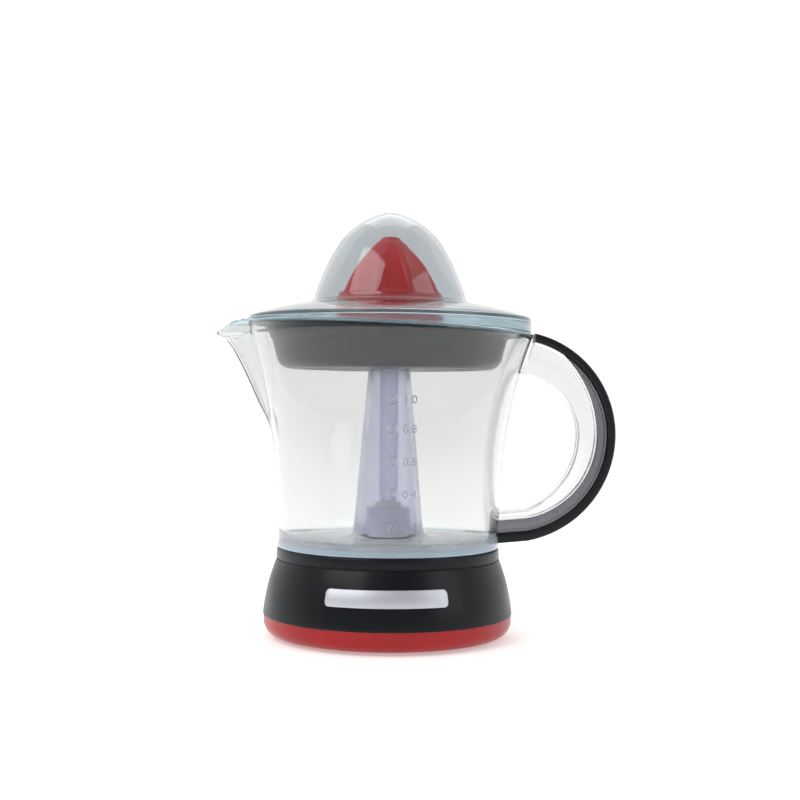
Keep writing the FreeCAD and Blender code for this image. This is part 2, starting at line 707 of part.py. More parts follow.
def base_skirt():
    body = new_body("base_skirt")
    inner = D.skirt_r - D.shell_wall
    corner = D.skirt_corner
    bend = math.sqrt(0.5)
    low = D.foot_lift
    inner_corner = corner - D.shell_wall
    tongue_out = D.housing_r - D.shell_wall - D.tongue_inset
    turn(body, "shell", [
        (0, low),
        (D.skirt_r - corner, low),
        Mid(D.skirt_r - corner + corner * bend, low + corner - corner * bend),
        (D.skirt_r, low + corner),
        (D.skirt_r, D.skirt_top),
        (tongue_out, D.skirt_top),
        (tongue_out, D.skirt_top + D.tongue_tall),
        (tongue_out - D.shell_wall, D.skirt_top + D.tongue_tall),
        (tongue_out - D.shell_wall, D.skirt_top),
        (inner, D.skirt_top - D.tongue_tall),
        (inner, low + corner),
        Mid(inner - inner_corner + inner_corner * bend, low + corner - inner_corner * bend),
        (inner - inner_corner, SKIRT_FLOOR),
        (0, SKIRT_FLOOR),
    ])
    turn(body, "spring_well", ring_points(D.well_bore, SKIRT_FLOOR - BEYOND, D.well_r, D.well_z))
    feet = [polar(D.foot_ring, angle) for angle in FOOT_ANGLES]
    extrude(body, "foot_recesses", circles(feet, D.foot_r + D.seat_gap),
            low, low + D.foot_sink, cut=True)
    turn(body, "ring_groove", foot_ring_points(D.seat_gap, low - BEYOND), cut=True)
    screws = [polar(D.boss_ring, angle) for angle in BOSS_ANGLES]
    extrude(body, "screw_holes", circles(screws, D.screw_r + D.seat_gap),
            low, SKIRT_FLOOR, cut=True)
    extrude(body, "head_recesses", circles(screws, D.screw_head_r + D.seat_gap),
            low, low + D.screw_head_tall, cut=True)
    vent_start = D.well_r + D.vent_off
    vent = box_points(vent_start, -D.vent_half, vent_start + D.vent_long, D.vent_half)
    slot = extrude(body, "vent", closed(vent), low, SKIRT_FLOOR, cut=True)
    around(body, "vents", slot, D.vent_count)
    return body


def base_housing():
    body = new_body("base_housing")
    wall = D.shell_wall
    groove_top = D.shoulder_z + D.groove_tall
    middle_z = (D.skirt_top + D.shoulder_z) / 2
    turn(body, "shell", [
        (D.housing_r - wall, D.skirt_top),
        (D.housing_r, D.skirt_top),
        Mid(D.housing_mid_r, middle_z),
        (D.shoulder_r, D.shoulder_z),
        (D.shoulder_r - D.groove_deep, D.shoulder_z),
        (D.shoulder_r - D.groove_deep, groove_top),
        (D.deck_r, groove_top),
        (D.deck_r, D.deck_z),
        (D.tower_r, D.deck_z),
        (D.tower_r, D.tower_z),
        (D.tower_bore - D.shell_wall / 2, D.tower_z),
        (D.tower_bore - D.shell_wall / 2, D.tower_z - D.seat_gap),
        (D.tower_bore, D.tower_z - D.seat_gap),
        (D.tower_bore, DECK_UNDER),
        (D.shoulder_r - D.groove_deep - wall, DECK_UNDER),
        (D.shoulder_r - D.groove_deep - wall, D.shoulder_z),
        Mid(D.housing_mid_r - wall, middle_z),
    ])
    bosses = [polar(D.boss_ring, angle) for angle in BOSS_ANGLES]
    extrude(body, "bosses", circles(bosses, D.boss_r), SKIRT_FLOOR, DECK_UNDER + BEYOND)
    extrude(body, "boss_holes", circles(bosses, D.screw_r + D.seat_gap),
            SKIRT_FLOOR, SKIRT_FLOOR + D.screw_bite + D.screw_room, cut=True)
    extrude(body, "posts", circles(posts(), D.post_r), PLATE_TOP, DECK_UNDER + BEYOND)
    extrude(body, "post_holes", circles(posts(), D.screw_r + D.seat_gap),
            PLATE_TOP, PLATE_TOP + D.screw_bite + D.screw_room, cut=True)
    # flat boss on the rear wall for the cord's grommet; the plane's normal points to -Y
    place = [(0, D.inlet_z)]
    face = -D.inlet_face
    outside = -(D.inlet_face + D.inlet_clear)
    back = -(D.inlet_face - D.inlet_wall)
    inside = -(D.inlet_face - D.inlet_wall - D.inlet_relief)
    lip = circles(place, D.inlet_flange_r + D.gap)
    neck = circles(place, D.inlet_neck_r + D.seat_gap)
    extrude(body, "inlet_boss", circles(place, D.inlet_boss_r), face, back, role="XZ_Plane")
    extrude(body, "inlet_hole", neck, outside, inside, role="XZ_Plane", cut=True)
    extrude(body, "inlet_seat", lip, outside, face, role="XZ_Plane", cut=True)
    extrude(body, "inlet_back", lip, back, inside, role="XZ_Plane", cut=True)
    return body


def foot_ring_points(gap, low):
    """The outline of the ring that joins the feet, or of its groove when gap is added."""
    reach = D.foot_band + gap
    return ring_points(D.foot_band_r - reach, low, D.foot_band_r + reach,
                       D.foot_lift + D.foot_sink)


def rubber_feet():
    body = new_body("rubber_feet")
    turn(body, "ring", foot_ring_points(0, 0))
    feet = [polar(D.foot_ring, angle) for angle in FOOT_ANGLES]
    extrude(body, "pads", circles(feet, D.foot_r), 0, D.foot_lift + D.foot_sink)
    return body


def base_screws():
    body = new_body("base_screws")
    places = [polar(D.boss_ring, angle) for angle in BOSS_ANGLES]
    head_top = D.foot_lift + D.screw_head_tall
    extrude(body, "heads", circles(places, D.screw_head_r), D.foot_lift, head_top)
    extrude(body, "shanks", circles(places, D.screw_r), head_top, SKIRT_FLOOR + D.screw_bite)
    return body


def badge_plate():
    body = new_body("badge_plate")
    low = D.badge_z - D.badge_tall / 2
    high = D.badge_z + D.badge_tall / 2
    span = D.shoulder_z - D.skirt_top
    lean = (D.housing_r - D.shoulder_r) / span
    bulge = D.housing_mid_r - (D.housing_r + D.shoulder_r) / 2 + D.fit_gap
    inner_low = D.housing_r - lean * (low - D.skirt_top) + bulge
    inner_high = D.housing_r - lean * (high - D.skirt_top) + bulge
    # the outline lies on the front side, towards -Y
    turn(body, "band", [
        (-inner_low, low),
        (-(inner_low + D.badge_thick), low),
        (-(inner_high + D.badge_thick), high),
        (-inner_high, high),
    ], role="YZ_Plane", angle=D.badge_half_turn * 2)
    return body


def cord_grommet():
    body = new_body("cord_grommet")
    face = D.inlet_face
    back = face - D.inlet_wall
    # turned about a line through the inlet, along Y
    sketch = new_sketch(body, "sleeve_outline", "XY_Plane", D.inlet_z)
    outline(sketch, [
        (D.inlet_r, back - D.inlet_flange),
        (D.inlet_flange_r - D.inlet_taper, back - D.inlet_flange),
        (D.inlet_flange_r - D.inlet_taper, back),
        (D.inlet_neck_r, back),
        (D.inlet_neck_r, face),
        (D.inlet_flange_r, face),
        (D.inlet_flange_r - D.inlet_taper, face + D.inlet_flange),
        (D.inlet_r, face + D.inlet_flange),
    ])
    sleeve = body.newObject("PartDesign::Revolution", "sleeve")
    sleeve.Profile = sketch
    sleeve.ReferenceAxis = (sketch, ["V_Axis"])
    sleeve.Angle = FULL_TURN
    return body


# ---------------------------------------------------------------- base: gear plate and motor


def gear_plate():
    body = new_body("gear_plate")
    corner = D.plate_corner
    short = corner * (1 - math.sqrt(0.5))
    left = -D.plate_left
    right = D.plate_right
    low = -D.plate_half
    high = D.plate_half
    shape = [
        (left + corner, low),
        (right - corner, low),
        Mid(right - short, low + short),
        (right, low + corner),
        (right, high - corner),
        Mid(right - short, high - short),
        (right - corner, high),
        (left + corner, high),
        Mid(left + short, high - short),
        (left, high - corner),
        (left, low + corner),
        Mid(left + short, low + short),
    ]
    holes = [(u, v, D.screw_r + D.seat_gap) for u, v in posts()]
    holes += [(u, v, D.motor_screw_r + D.seat_gap) for u, v in motor_holes()]
    holes.append((D.motor_reach, 0, D.bush_r + D.seat_gap))
    holes.append((COMPOUND_X, COMPOUND_Y, D.axle_r))
    holes.append((0, 0, D.hub_low_r + D.hub_clear))
    extrude(body, "sheet_metal", hollow(shape, holes), D.plate_z, PLATE_TOP)
    return body


def plate_screws():
    body = new_body("plate_screws")
    head_low = D.plate_z - D.screw_head_tall
    extrude(body, "heads", circles(posts(), D.screw_head_r), head_low, D.plate_z)
    extrude(body, "shanks", circles(posts(), D.screw_r), D.plate_z, PLATE_TOP + D.screw_bite)
    return body


def sector(inner, outer, middle, half):
    """An annular sector about the motor's axis, as an outline."""
    centre = D.motor_reach

    def spot(radius, degrees):
        u, v = polar(radius, degrees)
        return centre + u, v

    first = middle - half.value
    last = middle + half.value
    return [
        spot(inner, first),
        spot(outer, first),
        Mid(*spot(outer, middle)),
        spot(outer, last),
        spot(inner, last),
        Mid(*spot(inner, middle)),
    ]


def stator_core():
    body = new_body("stator_core")
    low = D.stator_z
    high = STATOR_TOP
    centre = [(D.motor_reach, 0)]
    extrude(body, "stack", circles(centre, D.stator_r), low, high)
    extrude(body, "ears", circles(motor_holes(), D.ear_r), low, high)
    extrude(body, "window", circles(centre, D.stator_r - D.stator_ring), low, high, cut=True)
    yoke = D.stator_r - D.stator_ring / 2
    for number, middle in enumerate((0, 180)):
        pole = sector(D.bore_r, yoke, middle, D.pole_half_turn)
        extrude(body, f"pole_{number}", closed(pole), low, high)
    holes = circles(motor_holes(), D.motor_screw_r + D.seat_gap)
    extrude(body, "screw_holes", holes, low, high, cut=True)
    return body


def motor_coils():
    body = new_body("motor_coils")
    outer = D.stator_r - D.stator_ring - D.gap
    inner = D.bore_r + D.air_gap
    for number, middle in enumerate((90, 270)):
        side = sector(inner, outer, middle, D.coil_half_turn)
        extrude(body, f"coil_{number}", closed(side), COIL_Z, COIL_Z + D.coil_tall)
    return body


def motor_bracket():
    body = new_body("motor_bracket")
    reach = D.ear_reach + D.ear_r
    centre = D.motor_reach
    strap = box_points(centre - D.strap_half, -reach, centre + D.strap_half, reach)
    holes = [(u, v, D.motor_screw_r + D.seat_gap) for u, v in motor_holes()]
    holes.append((centre, 0, D.bush_r + D.seat_gap))
    extrude(body, "strap", hollow(strap, holes), D.strap_z, D.strap_z + D.strap_thick)
    return body


def motor_spacers():
    body = new_body("motor_spacers")
    bore = D.motor_screw_r + D.seat_gap

    def sleeves(sketch):
        circles(motor_holes(), D.spacer_r)(sketch)
        circles(motor_holes(), bore)(sketch)

    extrude(body, "lower", sleeves, D.strap_z + D.strap_thick, D.stator_z)
    extrude(body, "upper", sleeves, STATOR_TOP, D.plate_z)
    return body


def motor_screws():
    body = new_body("motor_screws")
    head_top = PLATE_TOP + D.motor_head_tall
    extrude(body, "heads", circles(motor_holes(), D.spacer_r), PLATE_TOP, head_top)
    extrude(body, "shanks", circles(motor_holes(), D.motor_screw_r), D.strap_z, PLATE_TOP)
    return body


def motor_bushes():
    body = new_body("motor_bushes")
    centre = D.motor_reach
    bore = D.rotor_shaft_r + D.fit_gap

    def sleeve(radius):
        def draw(sketch):
            circle(sketch, centre, 0, radius)
            circle(sketch, centre, 0, bore)
        return draw

    for name, face, way in (("lower", D.strap_z + D.strap_thick, 1), ("upper", D.plate_z, -1)):
        collar_end = face + D.bush_flange * way
        neck_end = face - way * (D.bush_tall / 2)
        collar = (face, collar_end) if way > 0 else (collar_end, face)
        neck = (neck_end, face) if way > 0 else (face, neck_end)
        extrude(body, name + "_collar", sleeve(D.bush_flange_r), *collar)
        extrude(body, name + "_neck", sleeve(D.bush_r), *neck)
    return body


def placed_turn(name, points, x, y=0):
    """A turned piece that stands on an axis of its own."""
    body = new_body(name)
    turn(body, "turned", points)
    bind_placement(body, x, y)
    return body


def bind_placement(body, x, y):
    x, y = as_size(x), as_size(y)
    body.Placement = FreeCAD.Placement(V(x.value, y.value, 0), FreeCAD.Rotation())
    body.setExpression("Placement.Base.x", x.text)
    body.setExpression("Placement.Base.y", y.text)


def rotor_core():
    middle = D.stator_z + D.stator_tall / 2
    low = middle - D.rotor_tall / 2
    high = middle + D.rotor_tall / 2
    outer = D.bore_r - D.air_gap
    shaft = D.rotor_shaft_r
    return placed_turn("rotor_core", ring_points(shaft, low, outer, high), D.motor_reach)


def rotor_shaft():
    low = D.strap_z - D.shaft_end
    high = D.pinion_z + D.pinion_face
    return placed_turn("rotor_shaft", ring_points(0, low, D.rotor_shaft_r, high), D.motor_reach)


def gear_directions():
    """Directions, in degrees, from the main axis to the compound gear, and on to the motor."""
    x = COMPOUND_X.value
    y = COMPOUND_Y.value
    to_compound = math.degrees(math.atan2(y, x))
    to_motor = math.degrees(math.atan2(-y, D.motor_reach.value - x))
    return to_compound, to_motor


def gap_spin(direction, teeth):
    """The spin that points a gap between teeth in a direction."""
    return direction + 180 / teeth


def motor_pinion():
    teeth = D.pinion_teeth.value
    shape = gear_solid(teeth, D.fine_module.value, D.pinion_z.value, D.pinion_face.value,
                       D.rotor_shaft_r.value)
    _, to_motor = gear_directions()
    spin = gap_spin(to_motor + 180, teeth)
    return solid_feature("motor_pinion", shape, D.motor_reach.value, 0.0, spin)


def compound_gear():
    to_compound, to_motor = gear_directions()
    bore = D.axle_r.value + D.fit_gap.value
    low = D.wheel_z.value
    face = D.wheel_face.value
    wheel = gear_solid(D.wheel_teeth.value, D.fine_module.value, low, face, bore)
    wheel = moved(wheel, spin=to_motor)
    small = gear_solid(D.small_teeth.value, D.coarse_module.value, low, face + D.small_face.value,
                       bore)
    small = moved(small, spin=gap_spin(to_compound + 180, D.small_teeth.value))
    shape = wheel.fuse(small).removeSplitter()
    return solid_feature("compound_gear", shape, COMPOUND_X.value, COMPOUND_Y.value)


def gear_axle():
    points = ring_points(0, D.plate_z, D.axle_r, D.axle_top)
    return placed_turn("gear_axle", points, COMPOUND_X, COMPOUND_Y)


def axle_clip():
    low = D.wheel_z + D.wheel_face + D.small_face + D.gap
    points = ring_points(D.axle_r, low, D.axle_r + D.clip_wide, low + D.clip_thick)
    return placed_turn("axle_clip", points, COMPOUND_X, COMPOUND_Y)


# ---------------------------------------------------------------- base: drive, spring, switch


def output_gear():
    to_compound, _ = gear_directions()
    low = D.output_z.value
    face = D.output_face.value
    shape = gear_solid(D.output_teeth.value, D.coarse_module.value, low, face,
                       D.hub_seat_r.value)
    rim = D.coarse_module.value * D.output_teeth.value / 2 - D.gear_rim.value
    boss = D.hub_seat_r.value + D.gear_boss.value
    web = D.output_web.value
    hollow_ring = Part.makeCylinder(rim, face - web, V(0, 0, low + web))
    hollow_ring = hollow_ring.cut(Part.makeCylinder(boss, face, V(0, 0, low)))
    return solid_feature("output_gear", shape.cut(hollow_ring), 0.0, 0.0, to_compound)


def drive_hub():
    body = new_body("drive_hub")
    gear_top = D.output_z + D.output_face
    journal = D.cup_top - D.journal_sink
    turn(body, "turned", [
        (0, journal),
        (D.journal_r, journal),
        (D.journal_r, D.cup_top + D.gap),
        (D.hub_low_r, D.cup_top + D.gap),
        (D.hub_low_r, PLATE_TOP + D.press + D.hub_clear),
        (D.hub_seat_r, PLATE_TOP + D.press + D.hub_clear),
        (D.hub_seat_r, gear_top),
        (D.hub_r, gear_top),
        (D.hub_r, D.hub_top),
        (0, D.hub_top),
    ])
    extrude(body, "socket", closed(hexagon(D.hex_flats + D.seat_gap * 2)),
            D.socket_z, D.hub_top, cut=True)
    return body


def hub_bush():
    body = new_body("hub_bush")
    turn(body, "turned", ring_points(D.hub_r + D.fit_gap, D.hub_bush_z, D.tower_bore,
                                     D.tower_z - D.seat_gap))
    return body


def thrust_cup():
    body = new_body("thrust_cup")
    outer = D.well_bore - D.gap
    inner = outer - D.cup_wall
    turn(body, "turned", [
        (0, D.cup_crown),
        (inner, D.cup_crown),
        (inner, D.cup_z),
        (outer, D.cup_z),
        (outer, D.cup_top),
        (D.journal_r + D.fit_gap, D.cup_top),
        (D.journal_r + D.fit_gap, D.cup_top - D.journal_sink),
        (0, D.cup_top - D.journal_sink),
    ])
    arm = box_points(-D.arm_reach, -D.arm_half, -outer + BEYOND, D.arm_half)
    extrude(body, "arm", closed(arm), ARM_Z, D.cup_top)
    return body


def return_spring():
    body = new_body("return_spring")
    low = SKIRT_FLOOR + D.spring_wire
    high = D.cup_crown - D.spring_wire - D.fit_gap
    sketch = new_sketch(body, "wire_section", "XZ_Plane")
    circle(sketch, D.spring_r, low + D.fit_gap, D.spring_wire)
    coil = body.newObject("PartDesign::AdditiveHelix", "coil")
    coil.Profile = sketch
    coil.ReferenceAxis = (sketch, ["V_Axis"])
    coil.Mode = 0
    bind(coil, "Pitch", D.spring_pitch)
    bind(coil, "Height", high - low - D.fit_gap)
    coil.Angle = 0
    return body


def switch_body():
    body = new_body("switch_body")
    x = -D.switch_x
    block = box_points(x - D.switch_half_long, -D.switch_half_wide,
                       x + D.switch_half_long, D.switch_half_wide)
    extrude(body, "block", closed(block), SKIRT_FLOOR, D.switch_top)
    floor = D.switch_top - D.button_hold - D.press - D.gap
    extrude(body, "button_hole", circles([(x, 0)], D.button_r + D.seat_gap),
            floor, D.switch_top, cut=True)
    return body


def switch_button():
    low = D.switch_top - D.button_hold
    points = ring_points(0, low, D.button_r, BUTTON_TOP)
    return placed_turn("switch_button", points, -D.switch_x)


def drive_spindle():
    body = new_body("drive_spindle")
    turn(body, "turned", [
        (0, D.spindle_round_low),
        (D.spindle_r, D.spindle_round_low),
        (D.spindle_r, FLANGE_Z),
        (D.spindle_flange_r, FLANGE_Z),
        (D.spindle_flange_r, FLANGE_Z + D.spindle_flange),
        (0, FLANGE_Z + D.spindle_flange),
    ])
    flange_top = FLANGE_Z + D.spindle_flange
    extrude(body, "lower_key", closed(hexagon(D.hex_flats)), D.spindle_low,
            D.spindle_round_low + BEYOND)
    extrude(body, "upper_key", closed(hexagon(D.hex_flats)), flange_top - BEYOND, D.spindle_top)
    return body


# ---------------------------------------------------------------- jug


def jug_outline(inset, low):
    """The jug's side from low up to above the rim, set inwards by inset."""
    return [
        (D.jug_waist_r - inset, D.jug_waist_z),
        Mid(D.jug_flare_r - inset, D.jug_flare_z),
        (D.jug_rim_r - inset, D.jug_flare_top),
        (D.jug_rim_r - inset, D.jug_flare_top + D.rim_stock),
        (0, D.jug_flare_top + D.rim_stock),
        (0, low),
    ]


def spout_section(tip, radius, half_turn, inset):
    """One level of the spout: two sides that leave the jug at a crease and meet in a nose."""
    nose_u = -(tip - inset - D.spout_nose_deep)
    nose_v = D.spout_nose - inset / 2
    crease_u = -(radius - inset) * cosine(half_turn)
    crease_v = (radius - inset) * sine(half_turn)
    base_u = crease_u + (crease_u - nose_u) * D.spout_blend
    base_v = crease_v + (crease_v - nose_v) * D.spout_blend
    return [
        (base_u, -base_v),
        (base_u, base_v),
        (nose_u, nose_v),
        Mid(-(tip - inset), 0),
        (nose_u, -nose_v),
    ]


def spout_levels(inset):
    """The spout's sections from its root to above the rim."""
    rim_section = spout_section(D.spout_tip, D.jug_rim_r, D.spout_turn, inset)
    middle_r = (D.jug_waist_r + D.jug_flare_r) / 2 + D.spout_swell
    return [
        (D.spout_root_z,
         spout_section(D.spout_root, D.spout_root_r, D.spout_root_turn, inset)),
        (D.spout_mid_z, spout_section(D.spout_mid, middle_r, D.spout_mid_turn, inset)),
        (D.spout_neck_z, spout_section(D.spout_neck, D.jug_rim_r, D.spout_turn, inset)),
        (D.spout_tip_z + inset / 2, rim_section),
        (D.jug_flare_top + D.rim_stock, rim_section),
    ]


def jug():
    body = new_body("jug")
    wall = D.jug_wall
    through(body, "handle_clear", closed(clear_band()), D.handle_half)
    insert_room = closed(outside_of(insert_inner(D.seat_gap)))
    through(body, "insert_room", insert_room, D.handle_half * 2, cut=True)
    turn(body, "outer", [
        (D.jug_foot_r, JUG_Z),
        (D.jug_foot_r, JUG_Z + D.jug_floor / 2),
        (D.jug_low_r, D.jug_low_z),
    ] + jug_outline(as_size(0), JUG_Z))
    loft(body, "spout", spout_levels(as_size(0)))
    inner_low = D.jug_low_r - wall
    turn(body, "inside", [
        (inner_low - D.jug_bend, JUG_FLOOR),
        Mid(inner_low - D.jug_bend_mid, JUG_FLOOR + D.jug_bend_mid),
        (inner_low, JUG_FLOOR + D.jug_bend),
    ] + jug_outline(wall, JUG_FLOOR), cut=True)
    loft(body, "spout_inside", spout_levels(wall), cut=True)
    bend_top = D.column_low_z + D.column_bend_top
    turn(body, "column", [
        (0, JUG_Z),
        (D.column_foot_r + D.column_flare, JUG_Z),
        (D.column_foot_r, JUG_FLOOR),
        Mid(D.column_low_r + D.column_bend_out, JUG_FLOOR + D.column_bend_up),
        (D.column_low_r, bend_top),
        (D.column_top_r, D.column_top),
        (0, D.column_top),
    ])
    slope = (D.column_low_r - D.column_top_r) / (D.column_top - bend_top)
    cap_under = D.column_top - D.column_cap
    bore_low = D.column_low_r - D.column_wall + slope * (bend_top - JUG_Z)
    bore_high = D.column_top_r - D.column_wall + slope * D.column_cap
    turn(body, "column_inside", [
        (0, JUG_Z - BEYOND),
        (bore_low + slope, JUG_Z - BEYOND),
        (bore_high, cap_under),
        (D.spindle_r + D.gap, cap_under),
        (D.spindle_r + D.gap, D.column_top + BEYOND),
        (0, D.column_top + BEYOND),
    ], cut=True)
    far = D.grip_reach + FAR_OUT
    high = D.jug_flare_top + FAR_OUT * 2
    lip = D.spout_tip + D.spout_lip
    edge = D.jug_rim_r
    through(body, "rim_cut", closed([
        (-edge, rim_height(-edge)),
        (far, rim_height(far)),
        (far, high),
        (-far, high),
        (-far, D.spout_tip_z),
        (-lip, D.spout_tip_z),
        Mid(-(lip + edge) / 2 - D.lip_dip_out,
            (rim_height(-edge) + D.spout_tip_z) / 2 + D.lip_dip_up),
    ]), D.jug_rim_r * 1.5, cut=True)
    return body


# ---------------------------------------------------------------- handle


def upright_arc(end, right):
    """The middle of an arc between an end point and a furthest point, upright at the latter."""
    reach = right[0] - end[0]
    rise = right[1] - end[1]
    radius = (reach * reach + rise * rise) / (reach * 2)
    centre = right[0] - radius
    # the middle lies where the two radii's directions add up
    u = end[0] - centre + radius
    v = end[1] - right[1]
    scale = radius / root(u * u + v * v)
    return Mid(centre + u * scale, right[1] + v * scale)


def handle_curve(inset, foot_inset, top):
    """One of the handle's bows from its upper end round to the root, as corners and mids."""
    right = (D.grip_reach - inset, D.grip_mid_z)
    foot = (D.grip_foot_x, D.grip_foot_z + foot_inset)
    end = (D.handle_root, foot[1] - D.foot_fall)
    return [top, upright_arc(top, right), right, upright_arc(foot, right), foot, end]


def reverse_curve(items):
    return list(reversed(items))


def grip_inner(gap):
    """The grip's inner bow, moved inwards by a gap."""
    inset = D.grip_band + gap
    return handle_curve(inset, D.grip_foot_band + gap, (D.grip_top_x, D.grip_top_z - inset))


def insert_inner(gap):
    """The insert's inner bow, moved inwards by a gap; it starts from the grip's inner bow."""
    inset = D.grip_band + D.insert_band + gap
    foot = D.grip_foot_band + D.insert_foot_band + gap
    return handle_curve(inset, foot, (D.insert_tip_x - gap, D.insert_tip_z))


def outside_of(bow):
    """The outline of everything between a bow and far corners."""
    far = D.grip_reach + BOW_MARGIN
    low = D.grip_foot_z - BOW_MARGIN
    high = D.grip_top_z + BOW_MARGIN
    return bow + [(D.handle_root, low), (far, low), (far, high), (bow[0][0], high)]


def clear_band():
    """The clear part of the handle, moulded with the jug."""
    inset = D.grip_band + D.insert_band + D.clear_band
    foot = D.grip_foot_band + D.insert_foot_band + D.clear_foot_band
    inner = handle_curve(inset, foot, (D.finger_top_x, D.finger_top_z))
    upper = [
        (D.handle_root + D.clear_root_low, D.finger_top_z),
        (D.handle_root + D.clear_root_high, D.grip_top_z - D.grip_band - D.clear_drop),
    ]
    return upper + grip_inner(D.seat_gap) + reverse_curve(inner)


def handle_insert():
    body = new_body("handle_insert")
    half = D.handle_half - D.insert_recess
    through(body, "band", closed(outside_of(insert_inner(as_size(0)))), half)
    beyond = closed(outside_of(grip_inner(D.seat_gap)))
    through(body, "grip_room", beyond, D.handle_half * 2, cut=True)
    trim_to_jug(body)
    return body


def handle_grip():
    body = new_body("handle_grip")
    outer = handle_curve(as_size(0), 0, (D.grip_top_x, D.grip_top_z))
    inner = grip_inner(as_size(0))
    through(body, "band", closed(outer + reverse_curve(inner)), D.handle_half)
    trim_to_jug(body)
    return body


def trim_to_jug(body):
    """Cuts a handle piece back to the jug's outer wall, with the seat gap between them."""
    gap = D.seat_gap
    turn(body, "jug_room", [
        (0, JUG_Z - BEYOND),
        (D.jug_foot_r + gap, JUG_Z - BEYOND),
        (D.jug_foot_r + gap, JUG_Z + D.jug_floor / 2),
        (D.jug_low_r + gap, D.jug_low_z),
        (D.jug_waist_r + gap, D.jug_waist_z),
        Mid(D.jug_flare_r + gap, D.jug_flare_z),
        (D.jug_rim_r + gap, D.jug_flare_top),
        (D.jug_rim_r + gap, D.jug_flare_top + D.rim_stock),
        (0, D.jug_flare_top + D.rim_stock),
    ], cut=True)


# ---------------------------------------------------------------- strainer, reamer, lid


def strainer():
    body = new_body("strainer")
    wall = D.sieve_wall
    floor = D.sieve_floor_z
    top = D.rim_z + D.sieve_stock
    throat_top = D.sieve_high_z + D.sieve_throat
    chimney_out = D.chimney_bore + D.chimney_wall
    turn(body, "bowl", [
        (D.chimney_bore, floor),
        (D.sieve_floor_r, floor),
        Mid(D.sieve_low_r - D.sieve_bend_in, floor + D.sieve_bend_up),
        (D.sieve_low_r, D.sieve_low_z),
        (D.sieve_high_r, D.sieve_high_z),
        (D.sieve_mouth_r, throat_top),
        (D.sieve_mouth_r, top),
        (D.sieve_mouth_r - wall, top),
        (D.sieve_mouth_r - wall, throat_top),
        (D.sieve_high_r - wall, D.sieve_high_z),
        (D.sieve_low_r - wall, D.sieve_low_z),
        Mid(D.sieve_low_r - wall - D.sieve_bend_in, floor + D.sieve_bend_up + wall),
        (D.sieve_floor_r - wall, floor + wall),
        (chimney_out, floor + wall),
        (chimney_out, D.chimney_z),
        (D.chimney_bore, D.chimney_z),
    ])
    # the flange is a sheet that follows the tilted rim, cut round and opened over the bowl
    reach = D.sieve_flange_r + D.sheet_over
    upper = D.gap
    lower = D.gap + D.sieve_flange
    through(body, "flange_sheet", closed([
        (-reach, rim_height(-reach, lower)),
        (reach, rim_height(reach, lower)),
        (reach, rim_height(reach, upper)),
        (-reach, rim_height(-reach, upper)),
    ]), reach)
    beyond_edge = ring_points(D.sieve_flange_r, floor - BEYOND, reach * 2, top + FAR_OUT)
    turn(body, "flange_edge", beyond_edge, cut=True)
    turn(body, "flange_mouth", [
        (0, D.sieve_high_z - D.throat_low),
        (D.sieve_high_r - wall - D.throat_in, D.sieve_high_z - D.throat_low),
        (D.sieve_high_r - wall, D.sieve_high_z),
        (D.sieve_mouth_r - wall, throat_top),
        (D.sieve_mouth_r - wall, top + FAR_OUT),
        (0, top + FAR_OUT),
    ], cut=True)
    far = reach * 2
    through(body, "rim_trim", closed([
        (-far, rim_height(-far, upper)),
        (far, rim_height(far, upper)),
        (far, top + FAR_OUT),
        (-far, top + FAR_OUT),
    ]), far, cut=True)
    turn(body, "chimney_again", [
        (D.chimney_bore, floor + wall / 2),
        (chimney_out, floor + wall / 2),
        (chimney_out, D.chimney_z),
        (D.chimney_bore, D.chimney_z),
    ])
    half = D.slot_wide / 2
    slot = extrude(body, "slot", closed(box_points(D.slot_in_r, -half, D.slot_out_r, half)),
                   floor - BEYOND, floor + wall + BEYOND, cut=True)
    around(body, "slots", slot, D.slot_count)
    return body


def cone_outline(inset, low):
    return [
        (0, low),
        (D.cone_r - D.rib_proud - inset, low),
        (D.cone_r - D.rib_proud - inset, D.cone_swell_z),
        Mid(D.cone_mid_r - inset, D.cone_mid_z),
        (D.cone_tip_r, D.cone_top - inset),
        (0, D.cone_top - inset),
    ]


def reamer_cone():
    body = new_body("reamer_cone")
    low = D.cone_skirt_z
    wall = D.cone_wall
    turn(body, "core", cone_outline(as_size(0), low))
    rib = [
        (D.cone_tip_r / 2, D.cone_mid_z - D.rib_root_drop),
        (D.cone_r - D.rib_proud - D.rib_bury, low),
        (D.cone_r, low),
        (D.cone_r, D.cone_swell_z),
        Mid(D.cone_mid_r + D.rib_proud, D.cone_mid_z),
        (D.cone_tip_r + D.rib_tip_out, D.cone_top - D.rib_tip_drop),
        (D.cone_tip_r / 2, D.cone_top - D.rib_tip_drop),
    ]
    ribs = through(body, "rib", closed(rib), D.rib_half)
    around_vertical(body, "ribs", ribs, D.rib_count)
    inner_top = D.cone_mid_z + D.hollow_rise
    turn(body, "hollow", [
        (D.cone_socket_r, low - BEYOND),
        (D.cone_r - D.rib_proud - wall, low - BEYOND),
        (D.cone_r - D.rib_proud - wall, D.cone_swell_z),
        Mid(D.cone_mid_r - wall, D.cone_mid_z - D.hollow_drop),
        (D.cone_socket_r + BEYOND, inner_top),
        (D.cone_socket_r, inner_top),
    ], cut=True)
    extrude(body, "socket", closed(hexagon(D.hex_flats + D.seat_gap * 2)), low - BEYOND,
            D.spindle_top + D.gap, cut=True)
    return body


def around_vertical(body, name, feature, count):
    """Repeats a feature about the sketch's own vertical axis."""
    pattern = body.newObject("PartDesign::PolarPattern", name)
    pattern.Originals = [feature]
    pattern.Axis = (feature.Profile[0], ["V_Axis"])
    pattern.Angle = FULL_TURN
    pattern.Occurrences = int(as_size(count).value)
    pattern.setExpression("Occurrences", as_size(count).text)
    body.Tip = pattern
    return pattern


